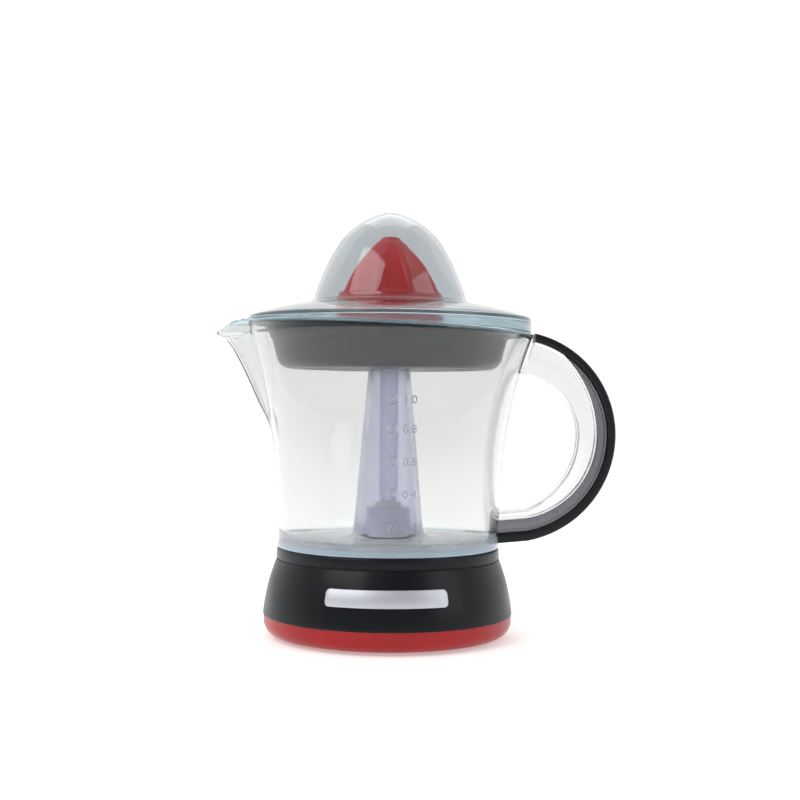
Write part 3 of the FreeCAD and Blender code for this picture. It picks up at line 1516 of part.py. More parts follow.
def lid():
    body = new_body("lid")
    wall = D.lid_wall
    low = D.rim_z - D.lid_stock
    side_r = (D.lid_high_r + D.lid_neck_r) / 2 + D.dome_bow
    side_z = (D.lid_high_z + D.lid_neck_z) / 2
    crown_r = D.lid_high_r * D.crown_share
    crown_z = D.lid_high_z + D.crown_rise
    bend_r = D.lid_neck_r + D.brim_bend_out
    bend_z = D.lid_brim_z + D.brim_bend_up
    brim_r = (D.lid_brim_r + D.lid_edge_r) / 2
    brim_z = (D.lid_brim_z + D.lid_edge_z) / 2 + D.brim_bow
    turn(body, "dome", [
        (0, D.lid_top - wall),
        (0, D.lid_top),
        (D.lid_flat_r, D.lid_top),
        Mid(crown_r, crown_z),
        (D.lid_high_r, D.lid_high_z),
        Mid(side_r, side_z),
        (D.lid_neck_r, D.lid_neck_z),
        Mid(bend_r, bend_z),
        (D.lid_brim_r, D.lid_brim_z),
        Mid(brim_r, brim_z),
        (D.lid_edge_r, D.lid_edge_z),
        (D.lid_edge_r, low),
        (D.lid_edge_r - wall, low),
        (D.lid_edge_r - wall, D.lid_edge_z - wall),
        Mid(brim_r, brim_z - wall),
        (D.lid_brim_r - wall / 2, D.lid_brim_z - wall),
        Mid(bend_r - wall, bend_z - wall / 2),
        (D.lid_neck_r - wall, D.lid_neck_z),
        Mid(side_r - wall, side_z),
        (D.lid_high_r - wall, D.lid_high_z - wall / 2),
        Mid(crown_r - wall / 2, crown_z - wall * D.crown_inner),
        (D.lid_flat_r, D.lid_top - wall),
    ])
    far = D.lid_edge_r * 2
    through(body, "rim_trim", closed([
        (-far, low - FAR_OUT),
        (far, low - FAR_OUT),
        (far, rim_height(far, -D.gap)),
        (-far, rim_height(-far, -D.gap)),
    ]), far, cut=True)
    return body


MAKERS = (
    base_skirt, base_housing, rubber_feet, base_screws, badge_plate, cord_grommet,
    gear_plate, plate_screws, stator_core, motor_coils, motor_bracket, motor_spacers,
    motor_screws, motor_bushes, rotor_core, rotor_shaft, motor_pinion, compound_gear,
    gear_axle, axle_clip, output_gear, drive_hub, hub_bush, thrust_cup, return_spring,
    switch_body, switch_button, drive_spindle, jug, handle_insert, handle_grip, strainer,
    reamer_cone, lid,
)


def check(pieces):
    """Stops with a plain list if anything in the document failed or a piece is not sound."""
    faults = []
    for item in DOC.Objects:
        if "Invalid" in item.State or "Error" in item.State:
            faults.append(f"{item.Name}: {item.State}")
    for piece in pieces:
        if piece.Shape.isNull() or not piece.Shape.isValid() or piece.Shape.Volume <= 0:
            faults.append(f"{piece.Label}: shape is empty or not valid")
    if faults:
        raise RuntimeError("; ".join(faults))


def main():
    pieces = []
    for maker in MAKERS:
        piece = maker()
        DOC.recompute()
        pieces.append(piece)
        print(f"{piece.Label}: {len(piece.Shape.Solids)} solid(s), {piece.Shape.Volume:.0f} mm3")
    check(pieces)
    os.makedirs("parts", exist_ok=True)
    for piece in pieces:
        piece.Shape.exportStep(os.path.join("parts", piece.Label + ".step"))


main()
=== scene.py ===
"""The looks of a citrus press juicer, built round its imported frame.

The frame has its origin on the juicer's vertical axis, in the plane of its feet: +Z is up, +X points to the
handle, -X to the spout and +Y to the rear. Sizes below are in millimetres; meshes are made in metres.
"""

import json
import logging
import math
from dataclasses import dataclass, field
from enum import Enum
from typing import Callable, Sequence

import bmesh
import bpy
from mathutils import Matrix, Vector

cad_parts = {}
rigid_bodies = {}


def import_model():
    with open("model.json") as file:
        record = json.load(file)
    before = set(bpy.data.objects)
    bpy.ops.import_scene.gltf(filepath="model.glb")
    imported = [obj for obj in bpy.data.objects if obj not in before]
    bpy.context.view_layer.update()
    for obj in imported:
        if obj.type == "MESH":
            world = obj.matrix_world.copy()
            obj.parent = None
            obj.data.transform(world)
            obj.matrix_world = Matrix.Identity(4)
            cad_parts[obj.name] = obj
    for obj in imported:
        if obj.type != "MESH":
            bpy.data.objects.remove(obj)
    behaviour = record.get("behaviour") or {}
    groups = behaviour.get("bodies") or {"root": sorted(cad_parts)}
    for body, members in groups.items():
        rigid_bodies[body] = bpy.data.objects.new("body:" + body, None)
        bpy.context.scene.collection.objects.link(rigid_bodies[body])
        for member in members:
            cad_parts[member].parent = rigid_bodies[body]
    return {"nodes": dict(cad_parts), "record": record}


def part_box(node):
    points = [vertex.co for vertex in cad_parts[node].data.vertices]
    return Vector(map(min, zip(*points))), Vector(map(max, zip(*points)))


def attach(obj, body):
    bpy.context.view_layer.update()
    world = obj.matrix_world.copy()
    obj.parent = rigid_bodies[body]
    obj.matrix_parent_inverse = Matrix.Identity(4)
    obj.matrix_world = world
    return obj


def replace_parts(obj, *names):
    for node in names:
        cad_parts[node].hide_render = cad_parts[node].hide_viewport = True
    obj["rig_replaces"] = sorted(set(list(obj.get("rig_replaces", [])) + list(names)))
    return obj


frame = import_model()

LOG = logging.getLogger("juicer")
MM = 0.001
SHARP_DEGREES = 38.0
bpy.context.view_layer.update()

Point = tuple[float, float]
Row = Callable[[float], Point]
Colour = tuple[float, float, float]


# ------------------------------------------------------------------ outlines


def mix(a: float, b: float, share: float) -> float:
    """Returns the value that lies a share of the way from a to b."""
    return a + (b - a) * share


def ease(low: float, high: float, value: float) -> float:
    """Rises smoothly from 0 to 1.

    Args:
        low: where the rise begins.
        high: where it ends.
        value: where it is read.

    Returns:
        The height of the rise at value, from 0 to 1.
    """
    share = min(1.0, max(0.0, (value - low) / (high - low)))
    return share * share * (3 - 2 * share)


def frame_box(node: str) -> tuple[Vector, Vector]:
    """Returns a frame node's lowest and highest corner in millimetres."""
    low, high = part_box(node)
    return low / MM, high / MM


@dataclass(frozen=True)
class Arc:
    """An arc through three points of a plane."""

    start: Point
    via: Point
    end: Point

    def centre(self) -> Point:
        """Returns the middle of the arc's circle."""
        (ax, ay), (bx, by), (cx, cy) = self.start, self.via, self.end
        doubled = 2 * (ax * (by - cy) + bx * (cy - ay) + cx * (ay - by))
        a2, b2, c2 = ax * ax + ay * ay, bx * bx + by * by, cx * cx + cy * cy
        x = (a2 * (by - cy) + b2 * (cy - ay) + c2 * (ay - by)) / doubled
        y = (a2 * (cx - bx) + b2 * (ax - cx) + c2 * (bx - ax)) / doubled
        return x, y

    def points(self, steps: int) -> list[Point]:
        """Divides the arc.

        Args:
            steps: how many equal stretches it gets.

        Returns:
            The points after the start, up to and with the end.
        """
        x, y = self.centre()
        radius = math.dist((x, y), self.start)
        turns = [math.atan2(p[1] - y, p[0] - x) for p in (self.start, self.via, self.end)]
        whole = (turns[2] - turns[0]) % math.tau
        if (turns[1] - turns[0]) % math.tau > whole:
            whole -= math.tau
        angles = [turns[0] + whole * (i + 1) / steps for i in range(steps)]
        return [(x + radius * math.cos(a), y + radius * math.sin(a)) for a in angles]

    def across_at(self, height: float) -> float:
        """Returns how far out the arc runs at a height, on the side of its middle point."""
        x, y = self.centre()
        radius = math.dist((x, y), self.start)
        half = math.sqrt(max(0.0, radius * radius - (height - y) ** 2))
        return x + math.copysign(half, self.via[0] - x)


class Outline:
    """A line in a plane, laid out stretch by stretch, whose corners can be softened."""

    SOFT_STEPS = 6

    def __init__(self, across: float, up: float, soft: float = 0.0) -> None:
        """Starts the line at a point, with the reach of its softening."""
        self.points: list[Point] = [(across, up)]
        self.soft: dict[int, float] = {0: soft} if soft else {}

    def to(self, across: float, up: float, soft: float = 0.0) -> "Outline":
        """Runs straight on.

        Args:
            across: where the stretch ends, across.
            up: where it ends, upwards.
            soft: how far from that corner the softening reaches.

        Returns:
            The outline itself, so that calls can be chained.
        """
        self.points.append((across, up))
        if soft:
            self.soft[len(self.points) - 1] = soft
        return self

    def bow(self, via: Point, end: Point, soft: float = 0.0, steps: int = 16) -> "Outline":
        """Runs on in an arc.

        Args:
            via: a point on the arc.
            end: where the arc ends.
            soft: how far from that end the softening reaches.
            steps: how many stretches the arc gets.

        Returns:
            The outline itself.
        """
        self.points.extend(Arc(self.points[-1], via, end).points(steps))
        if soft:
            self.soft[len(self.points) - 1] = soft
        return self

    def walk(self, start: int, step: int, reach: float, closed: bool) -> tuple[Point, set[int]]:
        """Follows the line from a corner.

        Args:
            start: the corner's number.
            step: 1 to go on, -1 to go back.
            reach: how far to go.
            closed: whether the line closes on itself.

        Returns:
            The place reached, and the numbers of the points passed.
        """
        here, passed = start, set()
        while True:
            following = here + step
            if closed:
                following %= len(self.points)
            elif not 0 <= following < len(self.points):
                return self.points[here], passed
            length = math.dist(self.points[here], self.points[following])
            if length > reach:
                a, b = self.points[here], self.points[following]
                return (mix(a[0], b[0], reach / length), mix(a[1], b[1], reach / length)), passed
            reach -= length
            here = following
            passed.add(here)

    def softened(self, closed: bool) -> list[Point]:
        """Rounds the corners that have a softening.

        Args:
            closed: whether the line closes on itself.

        Returns:
            The points of the finished line.
        """
        bends: dict[int, tuple[Point, Point]] = {}
        passed: set[int] = set()
        for index, reach in self.soft.items():
            before, behind = self.walk(index, -1, reach, closed)
            after, ahead = self.walk(index, 1, reach, closed)
            bends[index] = (before, after)
            passed |= behind | ahead
        line: list[Point] = []
        for index, point in enumerate(self.points):
            if index in bends:
                before, after = bends[index]
                for step in range(self.SOFT_STEPS + 1):
                    t = step / self.SOFT_STEPS
                    line.append(tuple(
                        mix(mix(before[k], point[k], t), mix(point[k], after[k], t), t) for k in (0, 1)))
            elif index not in passed:
                line.append(point)
        return line


def divided(line: Sequence[Point], count: int) -> list[Point]:
    """Divides a line evenly.

    Args:
        line: its points.
        count: how many points to return.

    Returns:
        Points at equal distances along the line, with both ends.
    """
    lengths = [math.dist(a, b) for a, b in zip(line, line[1:])]
    whole, places, at, gone = sum(lengths), [], 0, 0.0
    for i in range(count):
        target = whole * i / (count - 1)
        while at < len(lengths) - 1 and gone + lengths[at] < target:
            gone += lengths[at]
            at += 1
        share = min(1.0, (target - gone) / lengths[at]) if lengths[at] else 0.0
        a, b = line[at], line[at + 1]
        places.append((mix(a[0], b[0], share), mix(a[1], b[1], share)))
    return places


def smooth_through(stations: Sequence[Point], at: float) -> float:
    """Reads a smooth curve that runs through stations.

    Args:
        stations: (place, value) pairs in rising order of place.
        at: where the curve is read.

    Returns:
        The curve's value there.
    """
    if at <= stations[0][0]:
        return stations[0][1]
    if at >= stations[-1][0]:
        return stations[-1][1]
    slopes = [(b[1] - a[1]) / (b[0] - a[0]) for a, b in zip(stations, stations[1:])]
    leans = [slopes[0]]
    for a, b in zip(slopes, slopes[1:]):
        leans.append(0.0 if a * b <= 0 else 2 * a * b / (a + b))
    leans.append(slopes[-1])
    i = next(k for k in range(len(slopes)) if at <= stations[k + 1][0])
    (x0, y0), (x1, y1) = stations[i], stations[i + 1]
    width = x1 - x0
    t = (at - x0) / width
    rise = (2 * t - 3) * t * t
    return (y0 * (1 + rise) - y1 * rise + leans[i] * width * t * (1 - t) ** 2
            - leans[i + 1] * width * t * t * (1 - t))


# ------------------------------------------------------------------ meshes


def finished_mesh(name: str, shape: bmesh.types.BMesh, crease_degrees: float = SHARP_DEGREES) -> bpy.types.Mesh:
    """Turns a shape into a smooth mesh whose sharp edges stay sharp.

    Args:
        name: the mesh's name.
        shape: the shape, in millimetres. It is freed.
        crease_degrees: edges sharper than this stay sharp.

    Returns:
        The mesh, in metres.
    """
    bmesh.ops.scale(shape, vec=(MM, MM, MM), verts=shape.verts)
    bmesh.ops.recalc_face_normals(shape, faces=shape.faces)
    mesh = bpy.data.meshes.new(name)
    shape.to_mesh(mesh)
    shape.free()
    mesh.shade_smooth()
    mesh.set_sharp_from_angle(angle=math.radians(crease_degrees))
    return mesh


def spun(name: str, rows: Sequence[Row], columns: int, closed: bool = True) -> bpy.types.Mesh:
    """Runs rows of points round the vertical axis.

    Args:
        name: the mesh's name.
        rows: each gives (distance from the axis, height) for an angle.
        columns: how many angles there are.
        closed: True for a ring-like solid; False for one whose first and last row are points on the axis.

    Returns:
        The closed mesh.
    """
    shape = bmesh.new()
    angles = [math.tau * i / columns for i in range(columns)]
    rings: list[list[bmesh.types.BMVert]] = []
    for number, row in enumerate(rows):
        if not closed and number in (0, len(rows) - 1):
            rings.append([shape.verts.new((0, 0, row(0)[1]))] * columns)
            continue
        ring = []
        for angle in angles:
            reach, height = row(angle)
            ring.append(shape.verts.new((reach * math.cos(angle), reach * math.sin(angle), height)))
        rings.append(ring)
    pairs = list(zip(rings, rings[1:]))
    if closed:
        pairs.append((rings[-1], rings[0]))
    for lower, upper in pairs:
        for i in range(columns):
            j = (i + 1) % columns
            corners = [lower[i], lower[j], upper[j], upper[i]]
            shape.faces.new(list(dict.fromkeys(corners)))
    return finished_mesh(name, shape)


def turned(name: str, line: Sequence[Point], columns: int = 192, closed: bool = True,
           lean: Callable[[float], float] | None = None, tilt: float = 0.0) -> bpy.types.Mesh:
    """Turns an outline round the vertical axis.

    Args:
        name: the mesh's name.
        line: the outline's points.
        columns: how many angles there are.
        closed: whether the outline closes on itself away from the axis.
        lean: for a height, how much of the tilt the points there take, from 0 to 1.
        tilt: how much the leaning points drop per millimetre towards +X.

    Returns:
        The closed mesh.
    """
    def row(point: Point) -> Row:
        """Returns the row of one outline point."""
        across, up = point
        drop = tilt * lean(up) if lean else 0.0
        return lambda angle: (across, up - drop * across * math.cos(angle))

    return spun(name, [row(point) for point in line], columns, closed)


def strung(name: str, rings: Sequence[Sequence[Vector]]) -> bpy.types.Mesh:
    """Joins rings of points into a closed bar with flat ends.

    Args:
        name: the mesh's name.
        rings: rings with equal numbers of points, from one end to the other.

    Returns:
        The closed mesh.
    """
    shape = bmesh.new()
    made = [[shape.verts.new(point) for point in ring] for ring in rings]
    count = len(made[0])
    for lower, upper in zip(made, made[1:]):
        for i in range(count):
            j = (i + 1) % count
            shape.faces.new([lower[i], lower[j], upper[j], upper[i]])
    shape.faces.new(made[0])
    shape.faces.new(made[-1])
    return finished_mesh(name, shape)


def rounded_box(half_wide: float, half_tall: float, soft: float, steps: int = 6) -> list[Point]:
    """Returns the points round a rectangle with rounded corners, centred on the origin."""
    soft = min(soft, half_wide * 0.98, half_tall * 0.98)
    points = []
    for corner, (su, sv) in enumerate(((1, 1), (-1, 1), (-1, -1), (1, -1))):
        for step in range(steps + 1):
            angle = math.pi / 2 * (corner + step / steps)
            points.append((su * (half_wide - soft) + soft * math.cos(angle),
                           sv * (half_tall - soft) + soft * math.sin(angle)))
    return points


def block(shape: bmesh.types.BMesh, low: Vector, high: Vector, turn: float) -> None:
    """Adds a box between two corners, turned about the vertical axis, to a cutter's shape."""
    corners = []
    for z in (low.z, high.z):
        for x, y in ((low.x, low.y), (high.x, low.y), (high.x, high.y), (low.x, high.y)):
            corners.append(shape.verts.new((x * math.cos(turn) - y * math.sin(turn),
                                            x * math.sin(turn) + y * math.cos(turn), z)))
    for face in ((0, 3, 2, 1), (4, 5, 6, 7), (0, 1, 5, 4), (1, 2, 6, 5), (2, 3, 7, 6), (3, 0, 4, 7)):
        shape.faces.new([corners[i] for i in face])


def carved(mesh: bpy.types.Mesh, cutter: bpy.types.Mesh) -> bpy.types.Mesh:
    """Cuts one mesh out of another.

    Args:
        mesh: what is cut.
        cutter: what is taken away.

    Returns:
        The new mesh.
    """
    work = bpy.data.objects.new("work", mesh)
    tool = bpy.data.objects.new("tool", cutter)
    for thing in (work, tool):
        bpy.context.scene.collection.objects.link(thing)
    change = work.modifiers.new("carve", "BOOLEAN")
    change.object = tool
    change.operation = "DIFFERENCE"
    change.solver = "EXACT"
    state = work.evaluated_get(bpy.context.evaluated_depsgraph_get())
    result = bpy.data.meshes.new_from_object(state)
    result.name = mesh.name
    for thing in (work, tool):
        bpy.data.objects.remove(thing)
    result.shade_smooth()
    result.set_sharp_from_angle(angle=math.radians(SHARP_DEGREES))
    return result


# ------------------------------------------------------------------ finishes


class Grain(Enum):
    """How a surface was made, which sets the size of its fine texture per metre."""

    POLISHED = 900.0
    SATIN = 2600.0
    SPARK = 1500.0
    BRUSHED = 700.0


class Effect:
    """Builds the shader node groups that several finishes share, each of them once."""

    @staticmethod
    def socket(group: bpy.types.NodeTree, name: str, out: bool, value: float = 0.0) -> None:
        """Adds one number socket to a group."""
        way = "OUTPUT" if out else "INPUT"
        made = group.interface.new_socket(name=name, in_out=way, socket_type="NodeSocketFloat")
        made.default_value = value

    @staticmethod
    def stretched(group: bpy.types.NodeTree, value: bpy.types.NodeSocket, low: float,
                  high: float) -> bpy.types.NodeSocket:
        """Returns a value stretched so that low becomes 0 and high becomes 1."""
        spread = group.nodes.new("ShaderNodeMapRange")
        spread.inputs["From Min"].default_value = low
        spread.inputs["From Max"].default_value = high
        group.links.new(value, spread.inputs["Value"])
        return spread.outputs["Result"]

    @classmethod
    def moulded(cls) -> bpy.types.NodeTree:
        """Returns the group for moulded surfaces: a fine skin, slow waves and patches of handling."""
        group = bpy.data.node_groups.get("moulded_surface")
        if group:
            return group
        group = bpy.data.node_groups.new("moulded_surface", "ShaderNodeTree")
        for name, value in (("Grain Scale", 1500.0), ("Wave Scale", 30.0), ("Grain Share", 0.4),
                            ("Gloss Low", 0.2), ("Gloss High", 0.3)):
            cls.socket(group, name, False, value)
        for name in ("Height", "Roughness", "Patches"):
            cls.socket(group, name, True)
        nodes, link = group.nodes, group.links.new
        come, leave = nodes.new("NodeGroupInput"), nodes.new("NodeGroupOutput")
        place = nodes.new("ShaderNodeTexCoord")
        skin, wave, patch = (nodes.new("ShaderNodeTexNoise") for _ in range(3))
        patch.inputs["Scale"].default_value = 55.0
        patch.inputs["Detail"].default_value = 5.0
        for texture in (skin, wave, patch):
            link(place.outputs["Object"], texture.inputs["Vector"])
        link(come.outputs["Grain Scale"], skin.inputs["Scale"])
        link(come.outputs["Wave Scale"], wave.inputs["Scale"])
        height = nodes.new("ShaderNodeMix")
        link(come.outputs["Grain Share"], height.inputs["Factor"])
        link(wave.outputs["Fac"], height.inputs["A"])
        link(skin.outputs["Fac"], height.inputs["B"])
        link(height.outputs["Result"], leave.inputs["Height"])
        patches = cls.stretched(group, patch.outputs["Fac"], 0.35, 0.65)
        link(patches, leave.inputs["Patches"])
        gloss = nodes.new("ShaderNodeMix")
        link(patches, gloss.inputs["Factor"])
        link(come.outputs["Gloss Low"], gloss.inputs["A"])
        link(come.outputs["Gloss High"], gloss.inputs["B"])
        link(gloss.outputs["Result"], leave.inputs["Roughness"])
        return group

    @classmethod
    def edge_wear(cls) -> bpy.types.NodeTree:
        """Returns the group that finds worn edges, broken up by noise."""
        group = bpy.data.node_groups.get("edge_wear")
        if group:
            return group
        group = bpy.data.node_groups.new("edge_wear", "ShaderNodeTree")
        cls.socket(group, "Amount", False, 0.3)
        cls.socket(group, "Mask", True)
        nodes, link = group.nodes, group.links.new
        come, leave = nodes.new("NodeGroupInput"), nodes.new("NodeGroupOutput")
        form = nodes.new("ShaderNodeNewGeometry")
        edge = cls.stretched(group, form.outputs["Pointiness"], 0.53, 0.62)
        place = nodes.new("ShaderNodeTexCoord")
        noise = nodes.new("ShaderNodeTexNoise")
        noise.inputs["Scale"].default_value = 260.0
        link(place.outputs["Object"], noise.inputs["Vector"])
        broken = nodes.new("ShaderNodeMath")
        broken.operation = "MULTIPLY"
        link(edge, broken.inputs[0])
        link(noise.outputs["Fac"], broken.inputs[1])
        scaled = nodes.new("ShaderNodeMath")
        scaled.operation = "MULTIPLY"
        scaled.use_clamp = True
        link(broken.outputs["Value"], scaled.inputs[0])
        link(come.outputs["Amount"], scaled.inputs[1])
        link(scaled.outputs["Value"], leave.inputs["Mask"])
        return group


@dataclass(frozen=True)
class Finish:
    """What every finish says: its name, colour, gloss and fine texture."""

    name: str
    colour: Colour
    rough: tuple[float, float] = (0.25, 0.35)
    grain: Grain = Grain.SATIN
    grain_share: float = 0.06
    bump: float = 0.4

    def start(self) -> tuple[bpy.types.Material, bpy.types.Node, bpy.types.Node]:
        """Makes the material with its surface group.

        Returns:
            The material, its Principled node and its surface group node.
        """
        material = bpy.data.materials.new(self.name)
        material.use_nodes = True
        nodes, link = material.node_tree.nodes, material.node_tree.links.new
        shader = nodes["Principled BSDF"]
        surface = nodes.new("ShaderNodeGroup")
        surface.node_tree = Effect.moulded()
        surface.inputs["Grain Scale"].default_value = self.grain.value
        surface.inputs["Grain Share"].default_value = self.grain_share
        surface.inputs["Gloss Low"].default_value = self.rough[0]
        surface.inputs["Gloss High"].default_value = self.rough[1]
        link(surface.outputs["Roughness"], shader.inputs["Roughness"])
        relief = nodes.new("ShaderNodeBump")
        relief.inputs["Strength"].default_value = self.bump
        relief.inputs["Distance"].default_value = 0.0001
        link(surface.outputs["Height"], relief.inputs["Height"])
        link(relief.outputs["Normal"], shader.inputs["Normal"])
        material.diffuse_color = (*self.colour, 1.0)
        return material, shader, surface


@dataclass(frozen=True)
class Solid(Finish):
    """An opaque plastic, rubber or metal, a little paler where it is worn."""

    metal: float = 0.0
    coat: float = 0.0
    specular: float = 0.5
    wear: float = 0.4
    variation: float = 0.12

    def build(self) -> bpy.types.Material:
        """Returns the material."""
        material, shader, surface = self.start()
        nodes, link = material.node_tree.nodes, material.node_tree.links.new
        shader.inputs["Metallic"].default_value = self.metal
        shader.inputs["Coat Weight"].default_value = self.coat
        shader.inputs["Coat Roughness"].default_value = 0.12
        shader.inputs["Specular IOR Level"].default_value = self.specular
        tone = nodes.new("ShaderNodeMix")
        tone.data_type = "RGBA"
        tone.inputs["A"].default_value = (*self.colour, 1.0)
        paler = tuple(c * (1 - self.variation) for c in self.colour)
        tone.inputs["B"].default_value = (*paler, 1.0)
        link(surface.outputs["Patches"], tone.inputs["Factor"])
        worn = nodes.new("ShaderNodeGroup")
        worn.node_tree = Effect.edge_wear()
        worn.inputs["Amount"].default_value = self.wear
        edge = nodes.new("ShaderNodeMix")
        edge.data_type = "RGBA"
        lighter = tuple(min(1.0, c * 1.5 + 0.03) for c in self.colour)
        edge.inputs["B"].default_value = (*lighter, 1.0)
        link(worn.outputs["Mask"], edge.inputs["Factor"])
        link(tone.outputs["Result"], edge.inputs["A"])
        link(edge.outputs["Result"], shader.inputs["Base Color"])
        return material


@dataclass(frozen=True)
class Clear(Finish):
    """A clear or tinted plastic that lets lamps through."""

    index: float = 1.46
    clearness: float = 1.0
    shade: Colour = (0.9, 0.91, 0.93)

    def build(self) -> bpy.types.Material:
        """Returns the material."""
        material, shader, _ = self.start()
        nodes, link = material.node_tree.nodes, material.node_tree.links.new
        shader.inputs["Base Color"].default_value = (*self.colour, 1.0)
        shader.inputs["Transmission Weight"].default_value = self.clearness
        shader.inputs["IOR"].default_value = self.index
        rays = nodes.new("ShaderNodeLightPath")
        through = nodes.new("ShaderNodeBsdfTransparent")
        through.inputs["Color"].default_value = (*self.shade, 1.0)
        either = nodes.new("ShaderNodeMixShader")
        out = nodes["Material Output"]
        link(rays.outputs["Is Shadow Ray"], either.inputs["Fac"])
        link(shader.outputs["BSDF"], either.inputs[1])
        link(through.outputs["BSDF"], either.inputs[2])
        link(either.outputs["Shader"], out.inputs["Surface"])
        return material


class Finishes:
    """Every finish of the juicer, each built when it is first asked for."""

    KNOWN: tuple[Finish, ...] = (
        Solid("housing_black", (0.0025, 0.0035, 0.006), (0.3, 0.38), coat=0.06, specular=0.22, wear=0.1),
        Solid("skirt_red", (0.38, 0.006, 0.008), (0.28, 0.36), coat=0.12, specular=0.3, wear=0.0),
        Solid("foot_rubber", (0.018, 0.018, 0.019), (0.75, 0.9), Grain.SPARK, 0.4, 0.6),
        Solid("screw_steel", (0.5, 0.5, 0.52), (0.25, 0.4), Grain.BRUSHED, metal=1.0),
        Solid("badge_silver", (0.6, 0.61, 0.66), (0.4, 0.5), Grain.BRUSHED, metal=0.75, bump=0.2),
        Solid("grommet_rubber", (0.014, 0.014, 0.016), (0.6, 0.75), Grain.SPARK, 0.4, 0.5),
        Solid("plate_steel", (0.56, 0.57, 0.59), (0.3, 0.42), Grain.BRUSHED, metal=1.0),
        Solid("stator_steel", (0.16, 0.16, 0.17), (0.4, 0.55), Grain.BRUSHED, metal=0.9),
        Solid("coil_copper", (0.62, 0.2, 0.07), (0.25, 0.4), Grain.BRUSHED, metal=1.0, coat=0.4),
        Solid("shaft_steel", (0.6, 0.6, 0.62), (0.12, 0.2), Grain.BRUSHED, metal=1.0),
        Solid("bush_bronze", (0.55, 0.36, 0.14), (0.3, 0.45), Grain.BRUSHED, metal=1.0),
        Solid("gear_nylon", (0.74, 0.72, 0.64), (0.4, 0.5)),
        Solid("hub_acetal", (0.74, 0.74, 0.8), (0.3, 0.4)),
        Solid("switch_black", (0.02, 0.02, 0.023), (0.4, 0.5), Grain.SPARK),
        Solid("button_red", (0.45, 0.02, 0.02), (0.35, 0.45)),
        Solid("grip_black", (0.004, 0.004, 0.007), (0.34, 0.44), Grain.SPARK, 0.3, coat=0.05, specular=0.25,
              wear=0.1),
        Solid("strainer_grey", (0.014, 0.016, 0.021), (0.34, 0.42), coat=0.05, specular=0.22, wear=0.05, bump=0.08),
        Solid("reamer_red", (0.62, 0.008, 0.012), (0.3, 0.4), Grain.POLISHED, 0.02, 0.3, coat=0.15, wear=0.1),
        Clear("jug_clear", (0.845, 0.855, 0.85), (0.02, 0.05), Grain.POLISHED, 0.02, 0.5),
        Clear("jug_edge", (0.52, 0.7, 0.78), (0.1, 0.16), Grain.POLISHED, 0.02, 0.5, clearness=0.85,
              shade=(0.75, 0.84, 0.88)),
        Clear("jug_column", (0.78, 0.79, 0.88), (0.16, 0.24), Grain.POLISHED, 0.05, 0.5, shade=(0.8, 0.8, 0.86)),
        Clear("jug_frosted", (0.72, 0.75, 0.79), (0.4, 0.5), Grain.SPARK, 0.3, 0.4, clearness=0.25),
        Clear("scale_frosted", (0.8, 0.82, 0.86), (0.35, 0.45), Grain.POLISHED, 0.1, 0.4),
        Clear("lid_clear", (0.66, 0.69, 0.705), (0.03, 0.06), Grain.POLISHED, 0.02, 0.5, shade=(0.82, 0.84, 0.85)),
        Clear("insert_smoke", (0.13, 0.135, 0.15), (0.12, 0.2), Grain.POLISHED, 0.05, 0.4, shade=(0.2, 0.2, 0.22)),
        Clear("spindle_clear", (0.8, 0.8, 0.9), (0.35, 0.45), Grain.SATIN, 0.1, 0.4, shade=(0.6, 0.6, 0.7)),
    )

    def __init__(self) -> None:
        """Starts with no material built."""
        self.built: dict[str, bpy.types.Material] = {}

    def get(self, name: str) -> bpy.types.Material:
        """Returns the material of a finish."""
        if name not in self.built:
            finish = next(f for f in self.KNOWN if f.name == name)
            self.built[name] = finish.build()
        return self.built[name]


FINISHES = Finishes()


def finish_zone(piece: bpy.types.Object, finish: str, belongs: Callable[[Vector], bool]) -> None:
    """Gives a part of a piece another finish.

    Args:
        piece: the piece.
        finish: the name of the finish.
        belongs: whether a face belongs to the part, for its middle in millimetres.
    """
    mesh = piece.data
    mesh.materials.append(FINISHES.get(finish))
    number = len(mesh.materials) - 1
    for face in mesh.polygons:
        if belongs(face.center / MM):
            face.material_index = number


def add_piece(name: str, mesh: bpy.types.Mesh, body: str, finish: str, nodes: Sequence[str]) -> bpy.types.Object:
    """Puts a finished mesh into the scene.

    Args:
        name: the piece's name.
        mesh: its mesh, in the frame's place.
        body: the moving body it belongs to.
        finish: the name of its finish.
        nodes: the frame nodes it stands for.

    Returns:
        The piece.
    """
    piece = bpy.data.objects.new(name, mesh)
    bpy.context.scene.collection.objects.link(piece)
    mesh.materials.clear()
    mesh.materials.append(FINISHES.get(finish))
    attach(piece, body)
    if nodes:
        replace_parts(piece, *nodes)
    LOG.info("piece %s: %d faces", name, len(mesh.polygons))
    return piece


# ------------------------------------------------------------------ sub-assemblies


